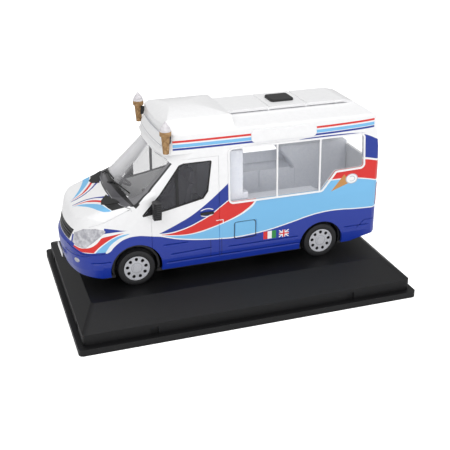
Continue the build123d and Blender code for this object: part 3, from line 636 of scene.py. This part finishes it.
    def wing(self, x: Field, y: Field, z: Field) -> list[Print]:
        """Gives the bumper's blue and the three darts behind the headlamp.

        Args:
            x: Distance from the middle line.
            y: Place along the van.
            z: Height above the deck.

        Returns:
            Inks with the places where they lie, from the lowest layer up.
        """
        bumper_top = y.along(
            [
                (-74.0, 20.4), (-71.6, 20.4), (-70.9, 20.2), (-70.0, 19.7), (-68.6, 18.8), (-67.2, 18.3),
                (-65.4, 18.1), (-61.3, 18.4), (-58.5, 18.3),
            ]
        )
        red_high = y.along(
            [
                (-71.6, 21.0), (-70.5, 20.7), (-69.2, 20.3), (-67.9, 20.1), (-66.0, 20.3), (-64.1, 20.9),
                (-62.4, 21.9), (-61.2, 23.0), (-60.3, 24.1), (-59.7, 24.8), (-58.6, 25.2), (-56.9, 25.4),
                (-54.8, 25.6), (-52.7, 25.8), (-50.2, 25.9),
            ]
        )
        red_edge = y.along(
            [
                (-63.1, 18.4), (-61.8, 19.9), (-60.5, 21.1), (-58.8, 22.3), (-57.1, 23.3), (-55.3, 24.2),
                (-53.6, 24.9), (-51.9, 25.5), (-50.2, 25.85),
            ]
        )
        sky_high = y.along(
            [
                (-62.4, 18.3), (-61.0, 20.0), (-59.7, 21.1), (-58.0, 22.2), (-56.2, 23.3), (-54.5, 24.1),
                (-52.8, 24.7), (-50.7, 25.1), (-47.6, 25.25),
            ]
        )
        sky_low = y.along(
            [
                (-58.5, 18.0), (-57.3, 19.6), (-56.4, 20.8), (-55.1, 22.0), (-53.7, 22.9), (-52.4, 23.65),
                (-50.7, 24.3), (-49.0, 24.75), (-47.6, 25.2),
            ]
        )
        dart_high = y.along([(-58.2, 29.2), (-55.5, 28.5), (-53.0, 27.8), (-50.6, 27.1), (-48.2, 26.75)])
        grille_foot = x.below(14.3) * y.below(-69.0) * z.below(21.6)
        lamp_edge = x.within(14.0, 16.2) * y.below(-66.0) * z.within(20.0, 24.9)
        return [
            (Ink.RED, y.within(-71.8, -50.2) * z.within(red_edge, red_high)),
            (Ink.SKY, y.within(-62.4, -47.6) * z.within(sky_low, sky_high)),
            (Ink.NAVY, y.within(-58.3, -48.2) * z.within(26.8, dart_high)),
            (Ink.ROYAL, y.below(-58.2) * z.below(bumper_top)),
            (Ink.ROYAL, grille_foot),
            (Ink.ROYAL, lamp_edge),
        ]

    def bonnet(self, x: Field, y: Field, z: Field) -> list[Print]:
        """Gives the three streaks that spread from the nose, and each scuttle vent's black mouth.

        Args:
            x: Distance from the middle line.
            y: Place along the van.
            z: Height above the deck.

        Returns:
            Inks with the places where they lie, from the lowest layer up.
        """
        top = z.above(31.0) * y.below(-49.0)
        navy_in = y.along(
            [
                (-68.2, 1.9), (-64.4, 1.85), (-62.4, 2.25), (-60.0, 3.4), (-57.2, 5.5), (-55.2, 7.4),
                (-52.8, 9.0),
            ]
        )
        navy_out = y.along(
            [
                (-68.2, 2.2), (-64.4, 2.65), (-62.4, 3.1), (-60.0, 4.3), (-57.2, 6.8), (-55.2, 9.2),
                (-52.8, 11.0),
            ]
        )
        red_in = y.along(
            [
                (-68.2, 2.7), (-64.0, 3.6), (-62.2, 4.2), (-60.5, 5.3), (-58.7, 7.2), (-57.0, 9.7),
                (-55.6, 12.4),
            ]
        )
        red_out = y.along(
            [
                (-68.2, 2.8), (-64.0, 4.2), (-62.2, 5.2), (-60.8, 6.8), (-59.0, 9.0), (-57.3, 11.7),
                (-55.6, 15.0),
            ]
        )
        sky_in = y.along(
            [
                (-68.2, 3.2), (-66.0, 4.1), (-64.8, 4.7), (-63.3, 6.0), (-61.8, 7.6), (-60.0, 9.8),
                (-58.3, 12.4), (-57.1, 15.0), (-56.2, 18.6), (-54.6, 21.3),
            ]
        )
        sky_out = y.along(
            [
                (-68.2, 3.3), (-66.0, 4.7), (-64.4, 7.1), (-63.0, 9.3), (-61.7, 11.8), (-60.3, 15.3),
                (-59.2, 18.3), (-57.8, 20.1), (-56.3, 20.9), (-54.6, 21.4),
            ]
        )
        vent_front = x.along(
            [(9.0, -54.6), (11.2, -56.5), (14.8, -56.4), (18.6, -55.8), (21.3, -54.3), (22.6, -53.5)]
        )
        vent_skin = z.above((y + 54.3) * 0.2 + 35.9)
        vent_inner_end = (x - (y + 56.3) * -0.5).above(11.2)
        vent = top * x.within(9.3, 22.4) * y.above(vent_front) * vent_skin * vent_inner_end
        return [
            (Ink.SKY, top * y.within(-68.0, -54.0) * x.within(sky_in, sky_out)),
            (Ink.RED, top * y.within(-67.0, -55.4) * x.within(red_in, red_out)),
            (Ink.NAVY, top * y.within(-67.6, -52.6) * x.within(navy_in, navy_out)),
            (Ink.BLACK, vent),
        ]

    def cowl(self, x: Field, y: Field, z: Field) -> list[Print]:
        """Gives the grey scuttle panel with a painted highlight along its front edge, the windscreen's black
        foot and the seal up each pillar.

        Args:
            x: Distance from the middle line.
            y: Place along the van.
            z: Height above the deck.

        Returns:
            Inks with the places where they lie, from the lowest layer up.
        """
        edge = x.along(
            [
                (0.0, -53.3), (5.0, -53.2), (9.0, -52.9), (15.6, -52.4), (19.9, -51.3), (22.0, -49.0),
                (23.0, -46.4),
            ]
        )
        low = x.along([(0.0, -0.1), (8.0, 0.1), (13.6, 0.3), (18.8, 0.7), (22.0, 1.03), (23.1, 1.3)])
        high = x.along([(0.0, 1.5), (11.5, 2.2), (20.8, 2.15), (23.1, 1.5)])
        rise = self.screen.rise(y, z)
        reach = self.screen.half_width(rise)
        front = z.above(35.0) * y.below(-26.0)
        inside = x.below(reach)
        skin = self.screen.depth(y, z).above(-8.3)
        scuttle = y.above(edge) * rise.below(high) * inside
        pillar_glaze = inside * x.above(19.0) * rise.within(1.2, 24.6) * skin * 0.9
        rim = (y - edge).near(-0.05, 0.14) * rise.below(1.2) * y.below(-47.0)
        # Painted highlight: a pale line along the scuttle's front edge
        glint = (y - edge).near(0.24, 0.07) * x.above(4.0) * rise.below(0.4)
        foot = rise.within(low, high) * inside * y.below(-44.9)
        seal = x.near(reach, 0.22) * rise.within(1.4, 24.8) * skin
        return [
            (Ink.COWL_GREY, front * (scuttle | pillar_glaze)),
            (Ink.BLACK, front * rim),
            (Ink.COWL_EDGE, front * glint),
            (Ink.BLACK, front * foot),
            (Ink.BLACK, front * seal),
        ]


@dataclass(frozen=True)
class WheelTrim:
    """The painted shade in the trim's nine holes and on the wheel behind its face, and the ring round its
    cap, on each of the four wheels.
    """

    axles_middle: float = -2.7
    half_wheelbase: float = 42.6
    axle_height: float = 8.4
    face: float = 21.85
    holes: int = 9
    hole_circle: float = 4.05
    hole_radius: float = 0.78
    ring_radius: float = 2.3

    def marks(self, surface: Surface, under: Any) -> Any:
        """Paints near-black shade into the holes and onto the wheel behind its face, and draws the ring.

        Args:
            surface: The wheel's surface.
            under: The silver paint's colour.

        Returns:
            The colour afterwards.
        """
        x, y, z = surface.axes()
        along = (y - self.axles_middle).unsigned() - self.half_wheelbase
        up = z - self.axle_height
        radius = along.reach(up)
        aside = along.work(Sum.ANGLE, up).work(Sum.FOLD, math.pi / self.holes) * 4.0
        # Painted shade: near black in the trim's holes and on the wheel behind the trim's face
        hole_shade = (aside * 1.0954).reach(radius - self.hole_circle).below(self.hole_radius)
        colour = ink(surface, under, Ink.HOLE, x.below(self.face) | hole_shade)
        return ink(surface, colour, Ink.CAP_RING, radius.near(self.ring_radius, 0.12) * 0.7)


@dataclass(frozen=True)
class ConeOrnament:
    """The ribs of the wafer cones and the turns of their ice cream, round each ornament's own axis."""

    x: float = 23.6
    y: float = -31.2

    def turn(self, surface: Surface) -> tuple[Field, Field]:
        """Gives the angle round the axis, in radians, and the height."""
        x, y, z = surface.axes()
        return (y - self.y).work(Sum.ANGLE, x - self.x), z

    def ribs(self, surface: Surface) -> Field:
        """Gives the diagonal ribs pressed into the wafer."""
        angle, z = self.turn(surface)
        right, left = ((angle * 3.0 + z * pitch).work(Sum.SINE).above(0.78, 0.2) for pitch in (1.9, -1.9))
        return right | left

    def rib_marks(self, surface: Surface, under: Any) -> Any:
        """Browns the ribs, as on a baked wafer."""
        return ink(surface, under, Ink.RIB_SHADE, self.ribs(surface) * 0.4)

    def swirl(self, surface: Surface) -> Field:
        """Gives the piped turns of the ice cream."""
        angle, z = self.turn(surface)
        return (angle + z * 4.4).work(Sum.SINE) * 0.5


def sign_marks(surface: Surface, under: Any) -> Any:
    """Draws the two fine grey lines that border the blank front sign."""
    _, _, z = surface.axes()
    return ink(surface, under, Ink.BORDER, z.near(SIGN_LOW_LINE, 0.14) | z.near(SIGN_HIGH_LINE, 0.12))


def side_ribs(surface: Surface) -> Field:
    """Gives the fine rings round the tyre's tread, up to its outer side."""
    x, _, _ = surface.axes()
    return ((x * (math.tau / RING_PITCH_MM)).work(Sum.SINE) * 0.5) * x.below(TYRE_SIDE_X)


def slats(surface: Surface) -> Field:
    """Gives the fine slats of grille and mirrors."""
    _, _, z = surface.axes()
    return (z * (math.tau / SLAT_PITCH_MM)).work(Sum.SINE) * 0.5


LIVERY = Livery()
CONE_ORNAMENT = ConeOrnament()

# Sprayed enamel over a zinc casting: a smooth gloss with a faint orange peel, crisp under the tampo inks
BODY_ENAMEL = Finish(
    "printed_white_enamel", "F4F4F5", "F1F1F2", roughness=0.3, coat=0.06, grain_mm=2.0,
    marks=LIVERY.paint, relief=LIVERY.pressings, relief_mm=0.35,
)
# The same enamel where nothing is printed: a little glossier
WHITE_ENAMEL = Finish("white_enamel", "F4F4F5", "F1F1F2", roughness=0.28, coat=0.12, grain_mm=2.0)
# The same enamel with two hairlines, which frame the curved sign
SIGN_ENAMEL = Finish(
    "bordered_white_enamel", "F4F4F5", "F1F1F2", roughness=0.28, coat=0.12, grain_mm=2.0, marks=sign_marks
)
# Moulded ABS with a spark-eroded texture: satin black with a fine sparkle
PLINTH_ABS = Finish(
    "black_textured_abs", "0E0E10", "09090B", roughness=0.5, specular=0.32, grain_mm=0.35, bump=0.25
)
# Moulded ABS from a plain tool: satin black, a touch lighter than the plinth
CHASSIS_ABS = Finish("black_moulded_abs", "141416", "0E0E10", roughness=0.5, grain_mm=0.6)
# The same ABS with fine slats, which break its gloss into lines
SLATTED_ABS = Finish(
    "black_slatted_abs", "1A1A1D", "131315", roughness=0.45, grain_mm=0.6, relief=slats, relief_mm=0.15
)
# Soft PVC tyre: dull, almost black, with fine rings where the mould was turned
RUBBER = Finish(
    "tyre_rubber", "1C1C1F", "141416", roughness=0.65, grain_mm=0.4, relief=side_ribs, relief_mm=0.3
)
# Silver lacquer on ABS: pale grey with a fine flake and a soft sheen, not a mirror
TRIM_SILVER = Finish(
    "silver_painted_abs", "C9CACF", "BBBCC2", roughness=0.4, metallic=0.25, grain_mm=0.5,
    marks=WheelTrim().marks,
)
# Thin clear polystyrene: nearly unseen, with a hard glint
CLEAR = Finish("clear_polystyrene", "E4E8EE", "DEE2E8", roughness=0.05, alpha=0.08, grain_mm=6.0, bump=0.0)
# The same clear moulding over the dark cab, tinted grey as painted shade: it darkens what is behind it
DOOR_CLEAR = Finish(
    "clear_polystyrene_with_painted_shade", "5A5A60", "505056", roughness=0.05, alpha=0.3, grain_mm=6.0, bump=0.0
)
# The same moulding with a black printed foot, and a painted white reflection where it wraps round to the
# pillar and is seen edge-on
SCREEN_CLEAR = Finish(
    "clear_polystyrene_with_black_foot", "F0F0F2", "E8E8EC", roughness=0.05, alpha=0.08, grain_mm=6.0,
    bump=0.0, marks=LIVERY.screen.marks, printed=LIVERY.screen.cover,
)
# Unpainted dark ABS: dull grey shapes behind the glass
CAB_GREY = Finish("dark_grey_moulded_abs", "58575D", "4E4D53", roughness=0.55)
# Unpainted pale ABS: cool, even and slightly satin
PALE_ABS = Finish("pale_grey_abs", "F2F4FA", "E8EBF4", roughness=0.45)
# Matt buff paint over ABS, with browned ribs
WAFER = Finish(
    "wafer_painted_abs", "B89468", "A07A4C", roughness=0.6, grain_mm=0.8,
    marks=CONE_ORNAMENT.rib_marks, relief=CONE_ORNAMENT.ribs, relief_mm=0.2,
)
# Unpainted off-white ABS: soft and dull, with the turns in relief
CREAM = Finish(
    "white_moulded_abs", "E2DFE2", "D8D4D9", roughness=0.55, relief=CONE_ORNAMENT.swirl, relief_mm=0.2
)
# Clear lens over silvered facets: a bright, cloudy grey under a wet gloss
LAMP = Finish("lamp_lens", "CFCFD4", "9E9EA6", roughness=0.15, coat=0.6, grain_mm=1.8)
# Drawn steel rod: bright bare metal
STEEL = Finish("steel_rod", "A8A9AD", "97989C", roughness=0.3, metallic=1.0, grain_mm=0.3)
# Tinted clear ABS: deep red under a wet gloss
TAIL_RED = Finish("tail_lamp_red", "B01818", "8C1010", roughness=0.15, coat=0.6, grain_mm=0.6)


@dataclass
class Dressing:
    """Gives each CAD piece the finish that the first word found in its name calls for."""

    by_word: tuple[tuple[Finish, tuple[str, ...]], ...] = (
        (BODY_ENAMEL, ("body_shell",)),
        (SIGN_ENAMEL, ("front_sign",)),
        (STEEL, ("plinth_screws", "axle")),
        (PLINTH_ABS, ("plinth",)),
        (RUBBER, ("tyre",)),
        (TRIM_SILVER, ("wheel_left", "wheel_right")),
        (DOOR_CLEAR, ("door_glass",)),
        (CLEAR, ("glass",)),
        (SCREEN_CLEAR, ("windscreen",)),
        (CAB_GREY, ("steering", "cab_floor", "dashboard", "seat")),
        (PALE_ABS, ("rear_interior", "counter", "cabinets")),
        (WAFER, ("wafer",)),
        (CREAM, ("ice_cream",)),
        (LAMP, ("headlamp", "fog_lamp")),
        (TAIL_RED, ("tail_lamp",)),
        (SLATTED_ABS, ("grille", "mirror")),
        (CHASSIS_ABS, ("chassis", "vent", "wiper", "door_seal", "door_handle", "bracket")),
    )
    made: dict[str, bpy.types.Material] = field(default_factory=dict)

    def material(self, finish: Finish) -> bpy.types.Material:
        """Gives a finish's material, and builds it the first time.

        Args:
            finish: The finish.

        Returns:
            Its material.
        """
        if finish.name not in self.made:
            self.made[finish.name] = finish.make()
        return self.made[finish.name]

    def dress(self, name: str, piece: bpy.types.Object) -> None:
        """Puts the right material on one CAD piece, and the plain white enamel where no word fits.

        Args:
            name: The piece's node.
            piece: The piece.
        """
        fitting = (finish for finish, words in self.by_word if any(word in name for word in words))
        finish = next(fitting, WHITE_ENAMEL)
        piece.data.materials.clear()
        piece.data.materials.append(self.material(finish))
        log.info("dressed %s in %s", name, finish.name)


@dataclass
class Studio:
    """Pale floor, soft lamps and the camera at the photograph's place."""

    camera_mm: tuple[float, float, float] = (335.25, -110.57, 185.69)
    azimuth: float = 71.48
    elevation: float = 24.36
    roll: float = -0.22
    focal_px: float = 839.07
    frame_px: float = 450.0
    sensor_mm: float = 36.0
    floor_mm: float = 6000.0
    floor_glow: float = 0.62
    ambient: float = 0.5
    lamp_target_mm: float = 30.0
    lamps: list[tuple[str, tuple[float, float, float], float, float]] = field(
        default_factory=lambda: [
            ("key_lamp", (420.0, -420.0, 520.0), 420.0, 1.2),
            ("top_lamp", (0.0, 60.0, 700.0), 620.0, 1.9),
            ("fill_lamp", (620.0, 160.0, 260.0), 420.0, 1.05),
        ]
    )

    def build(self) -> None:
        """Builds the floor, the world, the lamps and the camera."""
        self.floor()
        self.world()
        for name, place, size, power in self.lamps:
            self.lamp(name, Vector(place) * MM, size * MM, power)
        self.camera()

    def floor(self) -> None:
        """Lays the pale floor under the plinth."""
        bpy.ops.mesh.primitive_plane_add(size=self.floor_mm * MM, location=(0, 0, 0))
        floor = bpy.context.object
        floor.name = "studio_floor"
        floor.data.materials.append(self.board())

    def board(self) -> bpy.types.Material:
        """Makes the floor's white board, which the camera sees a little lighter, with its shadows.

        Returns:
            The board's material.
        """
        material = Finish("matt_white_board", "FFFFFF", "FCFCFC", roughness=0.9, grain_mm=30).make()
        tree = material.node_tree
        shader = next(n for n in tree.nodes if n.type == "BSDF_PRINCIPLED")
        glow = Field(tree, node(tree, "LightPath").outputs["Is Camera Ray"]) * self.floor_glow
        shader.inputs["Emission Color"].default_value = linear("FFFFFF")
        tree.links.new(glow.socket, shader.inputs["Emission Strength"])
        return material

    def world(self) -> None:
        """Sets a white surround that lights the model softly."""
        world = bpy.data.worlds.new("studio_world")
        bpy.context.scene.world = world
        world.use_nodes = True
        tree = world.node_tree
        tree.nodes.clear()
        path = node(tree, "LightPath")
        seen = Field(tree, path.outputs["Is Camera Ray"]) | Field(tree, path.outputs["Is Transmission Ray"])
        strength = node(tree, "MapRange", {"Value": seen.socket, "To Min": self.ambient, "To Max": 1.0})
        light = node(tree, "Background", {"Color": linear("FFFFFF"), "Strength": strength.outputs["Result"]})
        node(tree, "OutputWorld", {"Surface": light.outputs["Background"]})

    def lamp(self, name: str, place: Vector, size: float, power: float) -> None:
        """Hangs one square soft lamp that faces the model.

        Args:
            name: The lamp's name.
            place: Where it hangs, in metres.
            size: The length of its side, in metres.
            power: Its power in watts.
        """
        data = bpy.data.lights.new(name, "AREA")
        data.size = size
        data.energy = power
        lamp = bpy.data.objects.new(name, data)
        bpy.context.scene.collection.objects.link(lamp)
        lamp.location = place
        target = Vector((0, 0, self.lamp_target_mm * MM))
        lamp.rotation_euler = (target - place).to_track_quat("-Z", "Y").to_euler()

    def camera(self) -> None:
        """Puts the camera where the photograph was taken from."""
        az, el, roll = (math.radians(a) for a in (self.azimuth, self.elevation, self.roll))
        forward = Vector((-math.cos(el) * math.sin(az), math.cos(el) * math.cos(az), -math.sin(el)))
        level = forward.cross(Vector((0, 0, 1))).normalized()
        upright = level.cross(forward)
        right = math.cos(roll) * level + math.sin(roll) * upright
        up = math.cos(roll) * upright - math.sin(roll) * level
        turn = Matrix((right, up, -forward)).transposed().to_4x4()
        data = bpy.data.cameras.new("camera")
        data.sensor_width = self.sensor_mm
        data.lens = self.focal_px / self.frame_px * self.sensor_mm
        data.clip_start = 0.01
        camera = bpy.data.objects.new("camera", data)
        bpy.context.scene.collection.objects.link(camera)
        camera.matrix_world = Matrix.Translation(Vector(self.camera_mm) * MM) @ turn
        bpy.context.scene.camera = camera


class Run(Enum):
    """Which way a moulding runs from its outline."""

    LENGTHWISE = "along the van"
    CROSSWISE = "across the van"


@dataclass
class Moulding:
    """A solid of one outline with softened edges.

    The outline's corners are X, or for a crosswise one Y, and height above the deck, in turn.
    """

    name: str
    outline: list[Point]
    run: Run
    start: float
    end: float
    edge: float

    def build(self) -> bpy.types.Object:
        """Models the solid.

        Returns:
            The piece, at the origin with its place in its mesh.
        """
        lengthwise = self.run is Run.LENGTHWISE
        bpy.ops.object.select_all(action="DESELECT")
        bpy.ops.mesh.primitive_circle_add(
            vertices=len(self.outline), radius=MM, fill_type="NGON", location=(0, 0, 0)
        )
        piece = bpy.context.object
        piece.name = self.name
        for vertex, (side, height) in zip(piece.data.vertices, self.outline):
            flat = (side, self.start) if lengthwise else (self.start, side)
            vertex.co = Vector((*flat, height + DECK)) * MM
        length = self.end - self.start
        reach = Vector((0, length, 0) if lengthwise else (length, 0, 0)) * MM
        bpy.ops.object.mode_set(mode="EDIT")
        bpy.ops.mesh.select_all(action="SELECT")
        bpy.ops.mesh.extrude_region_move(TRANSFORM_OT_translate={"value": reach})
        bpy.ops.mesh.select_all(action="SELECT")
        bpy.ops.mesh.normals_make_consistent(inside=False)
        bpy.ops.object.mode_set(mode="OBJECT")
        bevel = piece.modifiers.new("edges", "BEVEL")
        bevel.width = self.edge * MM
        bevel.segments = 3
        bpy.ops.object.modifier_apply(modifier=bevel.name)
        bpy.ops.object.shade_smooth_by_angle(angle=math.radians(40))
        return piece


@dataclass
class Fitout:
    """The serving bay's small mouldings, which show through the hatch."""

    counter_height: float = 33.0
    upstand_height: float = 38.4
    upstand_x: float = -20.6
    upstand_wall: float = 0.7
    housing_x: float = -8.7
    housing_outline: list[Point] = field(
        default_factory=lambda: [
            (31.8, 43.2), (32.4, 42.2), (36.0, 37.6), (38.6, 34.2), (39.5, 31.6), (39.6, 20.6),
            (66.6, 20.6), (66.6, 43.6), (33.0, 44.0),
        ]
    )
    door_outline: list[Point] = field(
        default_factory=lambda: [(-9.2, 23.5), (-8.55, 23.5), (-8.55, 33.6), (-9.2, 33.6)]
    )
    post_outline: list[Point] = field(
        default_factory=lambda: [(17.6, 32.9), (20.6, 32.9), (20.2, 55.5), (17.2, 55.5)]
    )
    foot_outline: list[Point] = field(
        default_factory=lambda: [(16.6, 32.9), (20.4, 32.9), (20.4, 36.0), (16.6, 36.0)]
    )
    post_front: float = -2.8
    post_width: float = 6.0

    def mouldings(self) -> list[Moulding]:
        """Lists the mouldings from the far side to the hatch.

        Returns:
            Each moulding with its sizes.
        """
        far, near = self.upstand_x - self.upstand_wall, self.upstand_x
        low, high = self.counter_height, self.upstand_height
        upstand = [(far, low), (near, low), (near, high), (far, high)]
        post_end = self.post_front + self.post_width
        along = Run.LENGTHWISE
        return [
            Moulding("bay_far_upstand", upstand, along, -2.6, 62.0, 0.25),
            Moulding("bay_machine_housing", self.housing_outline, Run.CROSSWISE, -20.2, self.housing_x, 0.9),
            Moulding("bay_cabinet_door_front", self.door_outline, along, 5.0, 20.8, 0.25),
            Moulding("bay_cabinet_door_rear", self.door_outline, along, 21.6, 37.0, 0.25),
            Moulding("bay_hatch_post", self.post_outline, along, self.post_front, post_end, 0.4),
            Moulding("bay_post_foot", self.foot_outline, along, 3.1, 5.6, 0.3),
        ]

    def build(self, material: bpy.types.Material) -> None:
        """Models each moulding and lets it ride with the van.

        Args:
            material: The pale grey finish.
        """
        for piece in [moulding.build() for moulding in self.mouldings()]:
            piece.data.materials.append(material)
            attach(piece, "van")
            log.info("made %s", piece.name)


@dataclass
class Tyre:
    """A moulded tyre with three grooves round its tread, in place of a plain CAD one.

    Places across the tyre are shares of its half width, and those up its side shares of its radius.
    """

    groove_depth: float = 0.35
    groove_taper: float = 0.7
    side_groove: Point = (0.36, 0.09)
    middle_groove: Point = (0.0, 0.07)
    tread_edge: float = 0.62
    side: tuple[Point, ...] = ((0.9, 0.69), (1.0, 0.75), (1.0, 0.9), (0.84, 0.98))
    steps: int = 32

    def profile(self, half: float, radius: float) -> list[Point]:
        """Gives the tyre's section.

        Args:
            half: Half of the tyre's width.
            radius: The tyre's outer radius.

        Returns:
            The corners as distance from the tyre's middle and from its axle.
        """
        low = radius - self.groove_depth * MM
        side = [(share, radius * reach) for share, reach in self.side]
        side_groove, middle_groove = (
            [
                (middle + wide, radius), (middle + wide * self.groove_taper, low),
                (middle - wide * self.groove_taper, low), (middle - wide, radius),
            ]
            for middle, wide in (self.side_groove, self.middle_groove)
        )
        right = side + [(self.tread_edge, radius)] + side_groove
        left = [(-share, reach) for share, reach in reversed(right)]
        return [(share * half, reach) for share, reach in right + middle_groove + left]

    def build(self, node_name: str, cad: bpy.types.Object, body: str, material: bpy.types.Material) -> None:
        """Models one tyre round its own axle.

        Args:
            node_name: The CAD tyre's node.
            cad: The CAD tyre.
            body: The body that the tyre turns with.
            material: The rubber.
        """
        corners = [cad.matrix_world @ vertex.co for vertex in cad.data.vertices]
        low = Vector(min(c[i] for c in corners) for i in range(3))
        high = Vector(max(c[i] for c in corners) for i in range(3))
        middle, size = (low + high) / 2, high - low
        section = self.profile(size.x / 2, size.z / 2)
        bpy.ops.object.select_all(action="DESELECT")
        bpy.ops.mesh.primitive_circle_add(
            vertices=len(section), radius=MM, fill_type="NOTHING", location=(0, 0, 0)
        )
        piece = bpy.context.object
        piece.name = f"treaded_{node_name}"
        for vertex, (across, reach) in zip(piece.data.vertices, section):
            vertex.co = Vector((middle.x + across, middle.y, middle.z + reach))
        bpy.ops.object.mode_set(mode="EDIT")
        bpy.ops.mesh.select_all(action="SELECT")
        bpy.ops.mesh.spin(
            steps=self.steps, angle=math.tau, center=middle, axis=(1, 0, 0), use_auto_merge=True
        )
        bpy.ops.mesh.select_all(action="SELECT")
        bpy.ops.mesh.remove_doubles(threshold=0.01 * MM)
        bpy.ops.mesh.normals_make_consistent(inside=False)
        bpy.ops.object.mode_set(mode="OBJECT")
        bpy.ops.object.shade_smooth_by_angle(angle=math.radians(35))
        piece.data.materials.append(material)
        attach(piece, body)
        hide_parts(node_name)
        log.info("made %s with %d faces", piece.name, len(piece.data.polygons))


def main() -> None:
    """Loads the frame, dresses every piece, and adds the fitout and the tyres."""
    logging.basicConfig(level=logging.INFO, format="%(message)s")
    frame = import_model()
    bpy.context.scene.view_settings.view_transform = "Standard"
    Studio().build()
    dressing = Dressing()
    for name, piece in frame["nodes"].items():
        dressing.dress(name, piece)
    Fitout().build(dressing.material(PALE_ABS))
    for end in ("front", "rear"):
        for side in ("left", "right"):
            name = f"{end}_tyre_{side}"
            Tyre().build(name, frame["nodes"][name], f"{end}_wheels", dressing.material(RUBBER))


if __name__ == "__main__":
    main()
